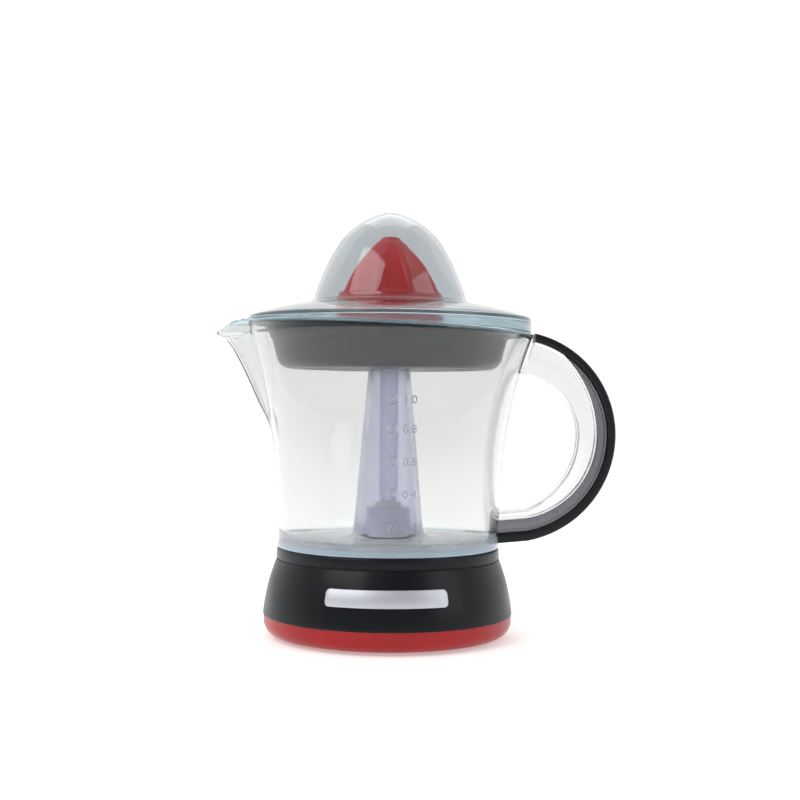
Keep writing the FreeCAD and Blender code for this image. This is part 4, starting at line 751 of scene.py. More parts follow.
@dataclass
class Base:
    """The motor base: black housing, red skirt, drive tower, badge plate, and what is fitted under and inside."""

    wall: float = 2.6
    seam_z: float = 12.5
    waist: float = 66.3
    shoulder: float = 61.5
    groove_z: float = 42.6
    groove: float = 0.9
    groove_deep: float = 0.8
    deck_r: float = 61.2
    deck_thick: float = 3.0
    deck_ring: tuple[float, float] = (3.2, 3.8)
    tower_ring: tuple[float, float] = (3.4, 2.8)
    ring_deep: float = 0.5
    tower_r: float = 12.5
    tower_bore: float = 9.6
    deck_z: float = 48.9
    inlet_z: float = 25.5
    inlet_face: float = 67.6
    inlet_boss_r: float = 10.0
    inlet_hole_r: float = 5.5
    boss_deep: float = 4.6
    plug_reach: tuple[float, float] = (55.0, 75.0)
    badge_half_turn: float = 28.0
    badge_half_tall: float = 4.5
    badge_corner: float = 2.2
    badge_thick: float = 0.7
    badge_edge: float = 0.35
    badge_columns: int = 120

    def side(self) -> Arc:
        """Returns the hollow sweep of the housing's side, as (distance from the axis, height)."""
        low, _ = frame_box("base_housing")
        middle = (self.seam_z + self.groove_z) / 2
        return Arc((-low.x, self.seam_z), (self.waist, middle), (self.shoulder, self.groove_z))

    def housing(self) -> None:
        """Builds the black housing with its groove, deck ring, tower opening and cord inlet."""
        side, low = self.side(), self.side().start[1]
        ring, groove_r = self.groove_z + self.groove, self.shoulder - self.groove_deep
        sunk, under = self.deck_z - self.ring_deep, self.deck_z - self.deck_thick
        line = Outline(side.start[0] - 0.35, low, 0.2).to(side.start[0] - 0.05, low + 0.5, 0.25)
        line.bow(side.via, (self.shoulder, self.groove_z), 0.35, 40)
        line.to(groove_r, self.groove_z + 0.1, 0.1).to(groove_r, ring - 0.1, 0.1)
        line.to(self.shoulder - 0.05, ring, 0.35).to(self.deck_r, self.deck_z, 1.1)
        line.to(self.deck_r - self.deck_ring[0], self.deck_z, 0.3)
        line.to(self.deck_r - self.deck_ring[1], sunk, 0.3)
        line.to(self.tower_r + self.tower_ring[0], sunk, 0.3)
        line.to(self.tower_r + self.tower_ring[1], self.deck_z, 0.3)
        line.to(self.tower_r + 0.4, self.deck_z, 0.2).to(self.tower_bore, self.deck_z, 0.2)
        line.to(self.tower_bore, under).to(self.deck_r - self.deck_thick, under, 1.0)
        line.to(groove_r - self.wall, self.groove_z - 2, 1.0)
        line.bow((self.waist - self.wall, side.via[1]), (side.start[0] - self.wall, low))
        mesh = turned("housing", line.softened(True), 288)
        mesh = carved(mesh, self.inlet_plug())
        add_piece("housing_shell", mesh, "base", "housing_black", ["base_housing"])

    def inlet_plug(self) -> bpy.types.Mesh:
        """Returns a plug along +Y that opens the housing's wall behind the inlet's boss."""
        outer, (near, far) = self.inlet_boss_r - 0.2, self.plug_reach
        return self.along_y("inlet_plug", [(0, near), (outer, near), (outer, far), (0, far)], False)

    def along_y(self, name: str, line: Sequence[Point], closed: bool) -> bpy.types.Mesh:
        """Turns an outline about the inlet's axis.

        Args:
            name: the mesh's name.
            line: (distance from the inlet's axis, place along +Y) points.
            closed: whether the outline closes on itself away from that axis.

        Returns:
            The mesh, in its place at the inlet.
        """
        mesh = turned(name, line, 64, closed)
        for vertex in mesh.vertices:
            x, y, z = vertex.co
            vertex.co = (x, z, self.inlet_z * MM - y)
        return mesh

    def inlet(self) -> None:
        """Builds the flat round boss that holds the cord grommet."""
        outer, hole, face = self.inlet_boss_r, self.inlet_hole_r, self.inlet_face
        back = face - self.boss_deep
        line = Outline(hole, face, 0.3).to(outer, face, 0.8).to(outer + 0.4, back, 0.4)
        line.to(hole, back, 0.3)
        add_piece("inlet_boss", self.along_y("inlet_boss", line.softened(True), True), "base",
                  "housing_black", ["base_housing"])

    def tower(self) -> None:
        """Builds the pale tower round the drive hub, with a step below its rolled top."""
        _, high = frame_box("base_housing")
        line = Outline(self.tower_r + 0.2, self.deck_z + 0.02, 0.1).to(self.tower_r, self.deck_z + 1.2, 0.6)
        line.to(self.tower_r, high.z - 6, 0.3).to(self.tower_r - 0.5, high.z - 5.4, 0.3)
        line.to(self.tower_r - 0.5, high.z, 0.9).to(self.tower_bore, high.z, 0.5)
        line.to(self.tower_bore, self.deck_z + 0.02)
        add_piece("drive_tower", turned("drive_tower", line.softened(True), 128), "base", "hub_acetal",
                  ["base_housing"])

    def badge(self) -> None:
        """Builds the plain silver plate on the front, with round corners and a soft edge."""
        low, high = frame_box("badge_plate")
        middle = (low.z + high.z) / 2
        side, thick, edge = self.side(), self.badge_thick, self.badge_edge
        half = math.radians(self.badge_half_turn)
        corner = self.badge_corner / self.waist
        rings = []
        for i in range(self.badge_columns + 1):
            turn = -math.cos(math.pi * i / self.badge_columns) * half
            over = max(0.0, abs(turn) - (half - corner)) / corner
            tall = self.badge_half_tall - self.badge_corner * (1 - math.sqrt(max(0.0, 1 - over * over)))
            tall = max(tall, 0.4)
            ring = []
            for across, up in ((0.0, -tall), (0.0, tall), (thick - edge, tall), (thick - 0.1, tall - 0.12),
                               (thick, tall - edge), (thick, edge - tall), (thick - 0.1, 0.12 - tall),
                               (thick - edge, -tall)):
                reach = side.across_at(middle + up) + 0.02 + across
                ring.append(Vector((reach * math.sin(turn), -reach * math.cos(turn), middle + up)))
            rings.append(ring)
        add_piece("badge_blank", strung("badge_blank", rings), "base", "badge_silver", ["badge_plate"])

    def build(self) -> None:
        """Builds the base's own pieces."""
        self.housing()
        self.inlet()
        self.tower()
        self.badge()


@dataclass
class Jug:
    """The clear jug: wall with spout, column, measuring scale and the clear band of the handle."""

    wall: float = 2.5
    rim_z: float = 170.0
    tilt: float = math.tan(math.radians(2.3))
    rim_r: float = 79.3
    flare: Arc = Arc((63.5, 100.0), (69.6, 135.0), (79.3, 166.0))
    foot_r: float = 61.0
    low_r: float = 60.4
    low_z: float = 56.0
    floor: float = 4.6
    root_z: float = 101.0
    lip_r: float = 96.4
    lip_z: float = 166.9
    lip_bow: float = 6.4
    nose: float = 3.4
    nose_deep: float = 1.6
    crease_soft: float = 0.5
    tips: tuple[Point, ...] = ((101.0, 63.2), (115.0, 66.6), (129.0, 73.4), (148.0, 82.3), (162.8, 91.4),
                               (165.65, 96.4))
    creases: tuple[Point, ...] = ((101.0, 6.0), (129.0, 13.3), (164.0, 21.3))
    columns: int = 432
    wall_rows: int = 72
    column_low: Point = (18.9, 62.0)
    column_high: Point = (10.6, 158.0)
    column_foot_r: float = 25.0
    column_wall: float = 2.2
    cap: float = 2.4
    spindle_hole: float = 5.3
    marks: tuple[tuple[str, float], ...] = (("1.0", 130.5), ("0.8", 115.5), ("0.6", 99.0), ("0.4", 82.0),
                                            ("0.2", 64.5))

    def side(self, height: float) -> float:
        """Returns the outer radius of the wall at a height, away from the spout."""
        start, end = self.flare.start, self.flare.end
        if height >= end[1]:
            return self.rim_r
        if height >= start[1]:
            return self.flare.across_at(height)
        if height >= self.low_z:
            return mix(self.low_r, start[0], (height - self.low_z) / (start[1] - self.low_z))
        return self.foot_r

    def reach(self, angle: float, height: float, inset: float = 0.0) -> float:
        """Reads the wall, spout and all.

        Args:
            angle: the direction, from +X.
            height: the height.
            inset: 0 for the outer face, the wall's thickness for the inner one.

        Returns:
            The distance from the axis to the wall's face.
        """
        plain = self.side(height) - inset
        phi = abs((angle % math.tau) - math.pi)
        crease = math.radians(smooth_through(self.creases, height))
        if height <= self.root_z or phi >= crease:
            return plain
        tip = smooth_through(self.tips, height) - inset
        nose = (tip - self.nose_deep, self.nose - inset / 2)
        nose_turn = math.atan2(nose[1], nose[0])
        if phi <= nose_turn:
            spout = tip - (tip - math.hypot(*nose)) * (phi / nose_turn) ** 2
        else:
            start = (plain * math.cos(crease), plain * math.sin(crease))
            along = (nose[0] - start[0], nose[1] - start[1])
            ray = (math.cos(phi), math.sin(phi))
            spout = (start[0] * along[1] - start[1] * along[0]) / (ray[0] * along[1] - ray[1] * along[0])
        swell = max(0.0, spout - plain)
        swell = math.hypot(swell, self.crease_soft) - self.crease_soft
        return plain + swell * ease(self.root_z, self.root_z + 14, height)

    def rim(self, x: float) -> float:
        """Returns the height of the rim at x: a tilted plane, and a bowed fall over the spout."""
        if x >= -self.rim_r:
            return self.rim_z - self.tilt * x
        share = (-self.rim_r - x) / (self.lip_r - self.rim_r)
        start = self.rim_z + self.tilt * self.rim_r
        return mix(start, self.lip_z, share) + self.lip_bow * share * (1 - share)

    def top(self, angle: float) -> float:
        """Returns the height at which the wall meets the rim, in one direction."""
        height = self.rim_z
        for _ in range(8):
            height = self.rim(self.reach(angle, height - self.wall / 2) * math.cos(angle))
        return height

    def shell_rows(self) -> list[Row]:
        """Returns the rows of the jug's wall, rim, floor and column, all the way round its section."""
        foot = frame_box("jug")[0].z
        inner_floor = foot + self.floor
        half = self.wall / 2
        tops: dict[float, float] = {}

        def top(angle: float) -> float:
            """Returns the rim's height, worked out once for each direction."""
            if angle not in tops:
                tops[angle] = self.top(angle)
            return tops[angle]

        def fixed(point: Point) -> Row:
            """Returns a row of one radius and height."""
            return lambda angle: point

        def wall_row(share: float, inset: float, low: float) -> Row:
            """Returns a row a share of the way up the wall."""
            def row(angle: float) -> Point:
                """Returns the wall's point in one direction."""
                height = mix(low, top(angle) - half, share)
                return self.reach(angle, height, inset), height
            return row

        def rim_row(turn: float) -> Row:
            """Returns a row of the rim's round edge."""
            def row(angle: float) -> Point:
                """Returns the edge's point in one direction."""
                height = top(angle) - half
                outer = self.reach(angle, height)
                inner = self.reach(angle, height, self.wall)
                across = (outer + inner) / 2 + (outer - inner) / 2 * math.cos(turn)
                return across, height + half * math.sin(turn)
            return row

        steps = [math.sin(math.pi / 2 * i / self.wall_rows) for i in range(self.wall_rows + 1)]
        foot_line = Outline(self.foot_r - 2.4, foot, 0.5).to(self.foot_r, foot, 0.7)
        foot_line.to(self.foot_r, foot + 3.0, 0.8).to(self.low_r, self.low_z, 0.8)
        rows = [fixed(p) for p in foot_line.softened(False)[:-1]]
        rows += [wall_row(s, 0.0, self.low_z) for s in steps]
        rows += [rim_row(math.pi * i / 8) for i in range(1, 8)]
        inner_low = self.low_r - self.wall
        rows += [wall_row(s, self.wall, inner_floor + 4) for s in reversed(steps)]
        (low_r, low_z), (high_r, high_z) = self.column_low, self.column_high
        slope = (low_r - high_r) / (high_z - low_z)
        inside = Outline(inner_low, inner_floor + 4).to(inner_low, inner_floor, 3.6)
        inside.to(self.column_foot_r, inner_floor, 3.0).to(low_r + 1.0, inner_floor + 2.6, 2.0)
        inside.to(low_r, low_z, 3.0).to(high_r, high_z, 0.8).to(self.spindle_hole, high_z, 0.3)
        inside.to(self.spindle_hole, high_z - self.cap, 0.3)
        inside.to(high_r - self.column_wall + slope * self.cap, high_z - self.cap, 0.8)
        inside.to(low_r - self.column_wall + slope * (low_z - foot), foot, 0.6)
        rows += [fixed(p) for p in inside.softened(False)[1:]]
        return rows

    def shell(self) -> None:
        """Builds the jug's body in one piece."""
        mesh = spun("jug_shell", self.shell_rows(), self.columns)
        piece = add_piece("jug_shell", mesh, "jug", "jug_clear", ["jug"])
        foot = frame_box("jug")[0].z
        finish_zone(piece, "jug_column", lambda at: math.hypot(at.x, at.y) < 19.5 and at.z > self.low_z)
        finish_zone(piece, "jug_frosted", lambda at: at.z < foot + 0.1 and math.hypot(at.x, at.y) < self.low_r)
        finish_zone(piece, "jug_edge", lambda at: at.z < foot + 3.2 and math.hypot(at.x, at.y) > self.low_r - 0.5)
        finish_zone(piece, "jug_edge", lambda at: at.z > self.rim(at.x) - 1.6 and math.hypot(at.x, at.y) > 70)

    def on_wall(self, across: float, up: float, proud: float) -> Vector:
        """Returns the place on the front of the wall, in millimetres, at a distance across and a height."""
        reach = self.side(up)
        angle = across / reach - math.pi / 2
        return Vector(((reach + proud) * math.cos(angle), (reach + proud) * math.sin(angle), up))

    def number(self, shape: bmesh.types.BMesh, text: str, across: float, up: float) -> None:
        """Adds a raised number to the scale's shape, with its lower left corner at a place on the wall."""
        curve = bpy.data.curves.new("number", "FONT")
        curve.body, curve.size, curve.extrude = text, 6.0, 0.2
        curve.resolution_u = 6
        holder = bpy.data.objects.new("number", curve)
        bpy.context.scene.collection.objects.link(holder)
        bpy.context.view_layer.update()
        mesh = bpy.data.meshes.new_from_object(holder.evaluated_get(bpy.context.evaluated_depsgraph_get()))
        for vertex in mesh.vertices:
            u, v, w = vertex.co
            vertex.co = self.on_wall(across + u, up + v, w + 0.15)
        shape.from_mesh(mesh)
        bpy.data.objects.remove(holder)

    def button(self, shape: bmesh.types.BMesh, across: float, up: float, outer: float, inner: float) -> None:
        """Adds a raised ring to the scale's shape, centred on a place on the wall."""
        middle, half, steps = (outer + inner) / 2, (outer - inner) / 2, 40
        rings = []
        for i in range(steps):
            turn = math.tau * i / steps
            ring = []
            for j in range(8):
                lift = math.pi * j / 7
                reach = middle + half * math.cos(lift)
                ring.append(shape.verts.new(self.on_wall(across + reach * math.cos(turn),
                                                         up + reach * math.sin(turn),
                                                         0.4 * math.sin(lift) - 0.02)))
            rings.append(ring)
        for i in range(steps):
            near, far = rings[i], rings[(i + 1) % steps]
            for j in range(8):
                shape.faces.new([near[j], near[(j + 1) % 8], far[(j + 1) % 8], far[j]])

    def scale(self) -> None:
        """Builds the measuring scale: a ring, a dot and a number for each mark."""
        shape = bmesh.new()
        for text, height in self.marks:
            self.button(shape, 2.6, height, 2.5, 1.8)
            self.button(shape, 2.6, height, 0.9, 0.2)
            self.number(shape, text, 7.6, height - 2.2)
        mesh = finished_mesh("jug_scale", shape, 30)
        add_piece("jug_scale", mesh, "jug", "scale_frosted", ["jug"])

    def build(self) -> None:
        """Builds the jug's own pieces."""
        self.shell()
        self.scale()


@dataclass
class Handle:
    """The D-shaped handle: clear band next to the jug, smoke insert, black grip outside."""

    jug: Jug
    half: float = 9.0
    root: float = 58.6
    top: Point = (80.2, 167.2)
    reach: Point = (124.6, 111.5)
    foot: Point = (76.5, 53.2)
    fall: float = 1.6
    grip: tuple[float, float] = (4.8, 5.5)
    insert: tuple[float, float] = (5.6, 7.0)
    clear: tuple[float, float] = (9.7, 4.4)
    insert_tip: Point = (97.0, 154.2)
    finger_top: Point = (73.4, 144.6)
    seat: float = 0.1
    recess: float = 0.4
    least: float = 0.3
    least_way: Point = (0.6, 0.8)
    arc_steps: int = 40
    root_steps: int = 6
    rings: int = 110

    def bow(self, inset: float, foot_inset: float, top: Point) -> list[Point]:
        """Draws one bow of the handle.

        Args:
            inset: how far its furthest point is set in from the grip's outside.
            foot_inset: how far its foot is above the grip's underside.
            top: where it starts.

        Returns:
            The bow's points, from the top round to the root.
        """
        furthest = (self.reach[0] - inset, self.reach[1])
        foot = (self.foot[0], self.foot[1] + foot_inset)
        end = (self.root, foot[1] - self.fall)
        upper = Arc(top, self.upright(top, furthest), furthest).points(self.arc_steps)
        lower = Arc(furthest, self.upright(foot, furthest), foot).points(self.arc_steps)
        shares = [i / self.root_steps for i in range(1, self.root_steps + 1)]
        return [top] + upper + lower + [(mix(foot[0], end[0], t), mix(foot[1], end[1], t)) for t in shares]

    @staticmethod
    def upright(end: Point, furthest: Point) -> Point:
        """Returns the middle of an arc that stands upright at its furthest point."""
        across, rise = furthest[0] - end[0], furthest[1] - end[1]
        radius = (across * across + rise * rise) / (across * 2)
        centre = furthest[0] - radius
        u, v = end[0] - centre + radius, end[1] - furthest[1]
        scale = radius / math.hypot(u, v)
        return centre + u * scale, furthest[1] + v * scale

    def grip_inner(self, gap: float) -> list[Point]:
        """Returns the grip's inner bow, moved inwards by a gap."""
        inset = self.grip[0] + gap
        return self.bow(inset, self.grip[1] + gap, (self.top[0], self.top[1] - inset))

    def insert_inner(self, gap: float) -> list[Point]:
        """Returns the insert's inner bow, moved inwards by a gap."""
        return self.bow(self.grip[0] + self.insert[0] + gap, self.grip[1] + self.insert[1] + gap,
                        (self.insert_tip[0] - gap, self.insert_tip[1]))

    def band(self, name: str, outer: Sequence[Point], inner: Sequence[Point], half: float,
             soft: float) -> bpy.types.Mesh:
        """Builds the bar between two bows, with rounded edges, ending at the jug's wall.

        Args:
            name: the mesh's name.
            outer: the outer bow.
            inner: the inner bow.
            half: half the bar's width along Y.
            soft: the rounding of its edges.

        Returns:
            The closed mesh.
        """
        rings = []
        for far, near in zip(divided(outer, self.rings), divided(inner, self.rings)):
            wide = max(math.dist(far, near), self.least)
            way = ((far[0] - near[0]) / wide, (far[1] - near[1]) / wide)
            if math.dist(far, near) < self.least:
                way = self.least_way
            middle = ((far[0] + near[0]) / 2, (far[1] + near[1]) / 2)
            ring = []
            for a, b in rounded_box(wide / 2, half, soft):
                x, z = middle[0] + way[0] * a, middle[1] + way[1] * a
                limit = self.jug.side(z) + self.seat
                if math.hypot(x, b) < limit:
                    x = math.sqrt(limit * limit - b * b)
                ring.append(Vector((x, b, z)))
            rings.append(ring)
        return strung(name, rings)

    def build(self) -> None:
        """Builds the handle's three pieces."""
        outer = self.bow(0.0, 0.0, self.top)
        add_piece("handle_grip_shell", self.band("handle_grip_shell", outer, self.grip_inner(0.0), self.half,
                                                 1.5), "jug", "grip_black", ["handle_grip"])
        beyond = [p for p in self.grip_inner(self.seat) if p[0] > self.insert_tip[0] or p[1] < self.reach[1]]
        tip = self.insert_tip
        add_piece("handle_insert_strip", self.band("handle_insert_strip", [tip] + beyond,
                                                   self.insert_inner(0.0), self.half - self.recess, 1.2),
                  "jug", "insert_smoke", ["handle_insert"])
        edge = [p for p in self.grip_inner(self.seat) if p[0] < self.insert_tip[0] and p[1] > self.reach[1]]
        edge += self.insert_inner(self.seat)
        finger = self.bow(self.grip[0] + self.insert[0] + self.clear[0],
                          self.grip[1] + self.insert[1] + self.clear[1], self.finger_top)
        add_piece("handle_clear_band", self.band("handle_clear_band", edge, finger, self.half, 1.2), "jug",
                  "jug_clear", ["jug"])


@dataclass
class Strainer:
    """The grey strainer with its slots, its central chimney and the flange that hangs in the jug."""

    jug: Jug
    wall: float = 1.8
    flange: float = 1.7
    flange_r: float = 76.0
    gap: float = 0.3
    floor_r: float = 57.0
    low: Point = (62.6, 154.4)
    high: Point = (65.0, 163.2)
    mouth_r: float = 68.6
    chimney: tuple[float, float] = (12.4, 1.8)
    chimney_z: float = 159.6
    slot_wide: float = 1.6
    slot_rows: tuple[Point, ...] = ((22.0, 50.0), (38.5, 50.0))
    slots_per_row: int = 36

    def build(self) -> None:
        """Builds the strainer."""
        floor = frame_box("strainer")[0].z
        bore, thick = self.chimney
        top = self.jug.rim_z - self.gap
        under = top - self.flange
        mouth = self.mouth_r
        line = Outline(bore, floor, 0.3).to(self.floor_r - 1, floor, 1.5)
        line.bow((self.low[0] - 1.8, floor + 3.0), self.low, 1.0, 8)
        line.to(self.high[0] - 0.1, self.high[1], 0.2).to(self.high[0] + 0.5, self.high[1] + 0.3, 0.2)
        line.to(mouth - 0.2, under - 0.2, 0.9)
        line.to(self.flange_r, under, 0.3).to(self.flange_r, top, 0.5)
        line.to(mouth - self.wall, top, 1.0).to(self.high[0] - self.wall, self.high[1] - 0.6, 0.8)
        line.to(self.low[0] - self.wall, self.low[1], 0.8)
        inner_floor = (self.floor_r - self.wall - 1, floor + self.wall)
        line.bow((self.low[0] - self.wall - 1.9, floor + 3.0 + self.wall), inner_floor, 1.0, 8)
        line.to(bore + thick, floor + self.wall, 1.2).to(bore + thick, self.chimney_z, 0.6)
        line.to(bore, self.chimney_z, 0.6)
        mesh = turned("strainer", line.softened(True), 288, True,
                      lambda up: ease(self.high[1] + 0.4, under - 0.5, up), self.jug.tilt)
        cutter = bmesh.new()
        half = self.slot_wide / 2
        for row, (inner, outer) in enumerate(self.slot_rows):
            low, high = Vector((inner, -half, floor - 1)), Vector((outer, half, floor + self.wall + 1))
            for i in range(self.slots_per_row):
                block(cutter, low, high, math.tau * (i + row / 2) / self.slots_per_row)
        mesh = carved(mesh, finished_mesh("slots", cutter))
        add_piece("strainer_bowl", mesh, "strainer", "strainer_grey", ["strainer"])


@dataclass
class Reamer:
    """The red cone with its ridges and the scooped panels between them."""

    columns: int = 320
    ridges: int = 8
    ridge_turn: float = math.radians(-63.0 + 270.0)
    ridge_half: float = math.radians(4.2)
    scoop: float = 2.1
    collar_z: float = 187.6
    wall: float = 2.2
    stations: tuple[Point, ...] = ((166.5, 29.7), (172.0, 30.0), (178.0, 29.9), (182.5, 29.2), (187.5, 27.9),
                                   (192.0, 26.2), (198.0, 23.2), (203.0, 20.2), (208.5, 15.8), (213.0, 11.6),
                                   (216.5, 8.3), (219.0, 5.2))
    socket_r: float = 7.2
    hex_r: float = 4.5
    hex_top: float = 203.3
    foot_r: float = 29.4
    side_top: float = 218.6
    tip_steps: int = 8
    hollow: tuple[Point, ...] = ((9.0, 203.0), (16.0, 197.0), (21.5, 188.0), (24.8, 178.0))
    hollow_low_r: float = 25.8

    def outside(self, height: float) -> Row:
        """Returns the row of the cone's outside at a height."""
        crest = smooth_through(self.stations, height)
        low = ease(self.collar_z - 0.2, self.collar_z + 1.6, height)
        high = 1 - ease(203.0, 216.0, height)
        depth = self.scoop * low * high

        def row(angle: float) -> Point:
            """Returns the cone's point in one direction."""
            turn = (angle - self.ridge_turn) % (math.tau / self.ridges)
            off = min(turn, math.tau / self.ridges - turn)
            wide = self.ridge_half * 26.0 / max(crest, 9.0)
            rise = ease(wide * 0.35, wide * 1.5, off)
            hollow = 0.72 + 0.28 * math.cos((off - math.pi / self.ridges) * self.ridges)
            return crest - depth * rise * hollow, height

        return row

    def build(self) -> None:
        """Builds the reamer."""
        low, high = (corner.z for corner in frame_box("reamer_cone"))
        heights = [low + 0.5 + (self.collar_z - 1 - low) * i / 16 for i in range(17)]
        heights += [self.collar_z - 0.6 + 2.6 * i / 10 for i in range(11)]
        heights += [self.collar_z + 2.4 + (self.side_top - self.collar_z - 2.4) * i / 60 for i in range(61)]
        rows: list[Row] = [lambda angle: (self.foot_r, low)]
        rows += [self.outside(z) for z in heights]
        tip_r, tip_z = smooth_through(self.stations, heights[-1]), heights[-1]
        for i in range(1, self.tip_steps):
            turn = math.pi / 2 * i / self.tip_steps
            rows.append(lambda angle, turn=turn: (tip_r * math.cos(turn), mix(tip_z, high, math.sin(turn))))
        rows.append(lambda angle: (0.0, high))
        inside = [(0.0, self.hex_top), (self.hex_r, self.hex_top), (self.hex_r, low + 0.3),
                  (self.socket_r, low + 0.3), (self.socket_r, self.hollow[0][1]), *self.hollow,
                  (self.hollow_low_r, low + 0.2)]
        rows = [lambda angle, p=p: p for p in inside] + rows
        add_piece("reamer_ribbed", spun("reamer_ribbed", rows, self.columns, False), "reamer", "reamer_red",
                  ["reamer_cone"])


@dataclass
class Lid:
    """The clear lid: a dome on a sloping brim with a short skirt that stands on the jug's rim."""

    jug: Jug
    wall: float = 1.8
    flat_r: float = 4.5
    high: Point = (28.0, 217.0)
    neck: Point = (41.5, 188.0)
    brim: Point = (47.5, 182.6)
    edge: Point = (78.0, 175.2)
    gap: float = 0.3
    crown_share: float = 0.64
    crown_rise: float = 9.8
    dome_bow: float = 1.2
    neck_bow: Point = (1.9, 1.6)
    brim_bow: float = 0.9

    def outline(self) -> list[Point]:
        """Returns the lid's section from the axis over the outside, and back along the inside."""
        top = frame_box("lid")[1].z
        wall, (edge_r, edge_z) = self.wall, self.edge
        low = self.jug.rim_z + self.gap
        crown = (self.high[0] * self.crown_share, self.high[1] + self.crown_rise)
        dome_via = ((self.high[0] + self.neck[0]) / 2 + self.dome_bow, (self.high[1] + self.neck[1]) / 2)
        neck_via = (self.neck[0] + self.neck_bow[0], self.brim[1] + self.neck_bow[1])
        brim_via = ((self.brim[0] + edge_r) / 2, (self.brim[1] + edge_z) / 2 + self.brim_bow)
        line = Outline(0.0, top).to(self.flat_r, top, 1.2)
        line.bow(crown, self.high, 2.0, 24)
        line.bow(dome_via, self.neck, 1.2, 24).bow(neck_via, self.brim, 1.2, 8)
        line.bow(brim_via, self.edge, 1.0, 12)
        line.to(edge_r, low, 0.5).to(edge_r - wall, low, 0.5).to(edge_r - wall, edge_z - wall, 0.9)
        line.bow((brim_via[0], brim_via[1] - wall), (self.brim[0] - wall / 2, self.brim[1] - wall), 1.2, 12)
        line.bow((neck_via[0] - wall, neck_via[1] - wall / 2), (self.neck[0] - wall, self.neck[1]), 1.2, 8)
        inner_high = (self.high[0] - wall * 0.8, self.high[1] - wall * 0.6)
        line.bow((dome_via[0] - wall, dome_via[1]), inner_high, 1.5, 24)
        line.bow((crown[0] - wall * 0.5, crown[1] - wall * 0.9), (self.flat_r, top - wall), 1.0, 24)
        line.to(0.0, top - wall)
        return line.softened(False)

    def build(self) -> None:
        """Builds the lid."""
        mesh = turned("lid", self.outline(), 256, False,
                      lambda up: 1 - ease(self.jug.rim_z + 1.0, self.edge[1] - 0.6, up), self.jug.tilt)
        piece = add_piece("lid_domed", mesh, "lid", "lid_clear", ["lid"])
        finish_zone(piece, "jug_edge", lambda at: math.hypot(at.x, at.y) > self.edge[0] - 1.0)


class FrameParts:
    """The frame nodes that are shown as they are, smoothed, each in its own finish."""

    def build(self, stood_for: set[str]) -> None:
        """Dresses every node that no new piece stands for.

        Args:
            stood_for: the names of the nodes that are hidden.
        """
        slots = {part["node"]: part["material_slot"] for part in frame["record"]["subparts"]}
        for name, node in frame["nodes"].items():
            if name in stood_for:
                continue
            node.data.shade_smooth()
            node.data.set_sharp_from_angle(angle=math.radians(28))
            node.data.materials.clear()
            node.data.materials.append(FINISHES.get(slots[name]))
            LOG.info("frame part %s: %s", name, slots[name])


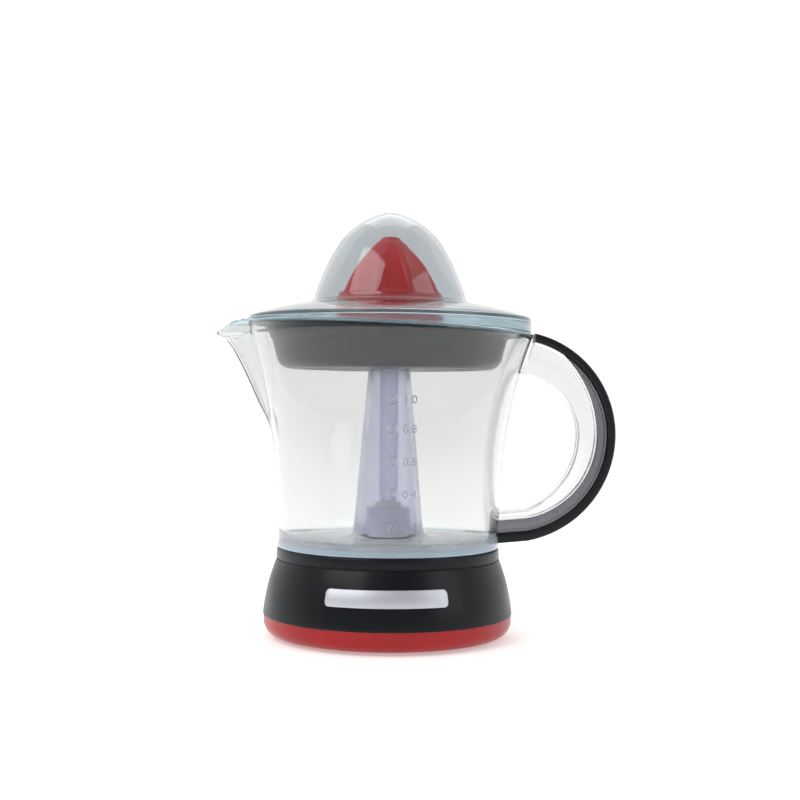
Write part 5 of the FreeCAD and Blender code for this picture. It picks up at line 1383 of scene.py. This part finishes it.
@dataclass
class Studio:
    """A pale floor, soft lamps and the camera."""

    camera_at: Vector = field(default_factory=lambda: Vector((0.0060, -0.7350, 0.1300)))
    lens: float = 59.6
    roll: float = math.radians(-0.5)
    lamps: tuple[tuple[str, Vector, tuple[float, float], float], ...] = (
        ("lamp_key", Vector((-0.9, -0.9, 1.2)), (1.2, 1.2), 12.0),
        ("lamp_fill", Vector((1.5, -0.9, 0.9)), (1.0, 1.4), 6.0),
        ("lamp_top", Vector((0.0, 1.2, 2.0)), (1.4, 1.4), 5.0),
    )

    def floor(self) -> None:
        """Builds the wide pale floor."""
        half, steps = 12.0, 8
        shape = bmesh.new()
        bmesh.ops.create_grid(shape, x_segments=steps, y_segments=steps, size=half)
        bmesh.ops.translate(shape, vec=(0.0, 0.0, -0.0001), verts=shape.verts)
        mesh = bpy.data.meshes.new("studio_floor")
        shape.to_mesh(mesh)
        shape.free()
        mesh.shade_smooth()
        floor = bpy.data.objects.new("studio_floor", mesh)
        bpy.context.scene.collection.objects.link(floor)
        paper = bpy.data.materials.new("studio_paper")
        paper.use_nodes = True
        shader = paper.node_tree.nodes["Principled BSDF"]
        shader.inputs["Base Color"].default_value = (0.93, 0.93, 0.93, 1.0)
        shader.inputs["Roughness"].default_value = 0.95
        shader.inputs["Specular IOR Level"].default_value = 0.1
        shader.inputs["Emission Color"].default_value = (1.0, 1.0, 1.0, 1.0)
        shader.inputs["Emission Strength"].default_value = 0.36
        mesh.materials.append(paper)

    def lamp(self, name: str, at: Vector, aim: Vector, size: tuple[float, float], power: float) -> None:
        """Adds a rectangular soft lamp.

        Args:
            name: the lamp's name.
            at: where it stands.
            aim: what it points at.
            size: its width and height in metres.
            power: its power in watts.
        """
        data = bpy.data.lights.new(name, "AREA")
        data.shape = "RECTANGLE"
        data.size, data.size_y = size
        data.energy = power
        holder = bpy.data.objects.new(name, data)
        holder.location = at
        holder.rotation_euler = (aim - at).to_track_quat("-Z", "Y").to_euler()
        bpy.context.scene.collection.objects.link(holder)

    def world(self) -> None:
        """Makes the surroundings: white behind the juicer, dimmer in front of it."""
        world = bpy.data.worlds.new("studio_world")
        bpy.context.scene.world = world
        world.use_nodes = True
        nodes, link = world.node_tree.nodes, world.node_tree.links.new
        place = nodes.new("ShaderNodeTexCoord")
        split = nodes.new("ShaderNodeSeparateXYZ")
        fade = nodes.new("ShaderNodeMapRange")
        fade.inputs["From Min"].default_value = -0.6
        fade.inputs["From Max"].default_value = 0.4
        fade.inputs["To Min"].default_value = 0.3
        fade.inputs["To Max"].default_value = 1.05
        link(place.outputs["Generated"], split.inputs["Vector"])
        link(split.outputs["Y"], fade.inputs["Value"])
        link(fade.outputs["Result"], nodes["Background"].inputs["Strength"])
        nodes["Background"].inputs["Color"].default_value = (1.0, 1.0, 1.0, 1.0)

    def camera(self) -> None:
        """Sets up the level camera at the height of the jug's middle."""
        data = bpy.data.cameras.new("studio_camera")
        data.lens, data.sensor_width = self.lens, 36.0
        holder = bpy.data.objects.new("studio_camera", data)
        holder.location = self.camera_at
        holder.rotation_euler = (math.pi / 2, self.roll, 0.0)
        bpy.context.scene.collection.objects.link(holder)
        bpy.context.scene.camera = holder

    def build(self) -> None:
        """Builds the studio."""
        self.floor()
        self.world()
        aim = Vector((0.0, 0.0, 0.11))
        for name, at, size, power in self.lamps:
            self.lamp(name, at, aim, size, power)
        self.camera()
        bpy.context.scene.view_settings.view_transform = "Standard"


def main() -> None:
    """Builds the whole scene, piece by piece."""
    logging.basicConfig(level=logging.INFO, format="%(name)s: %(message)s")
    for thing in [o for o in bpy.context.scene.objects if o.name in ("Cube", "Light", "Camera")]:
        bpy.data.objects.remove(thing)
    Base().build()
    jug = Jug()
    jug.build()
    Handle(jug).build()
    Strainer(jug).build()
    Reamer().build()
    Lid(jug).build()
    stood_for = {n for o in bpy.context.scene.objects for n in o.get("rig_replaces", [])}
    FrameParts().build(stood_for)
    Studio().build()


if __name__ == "__main__":
    main()
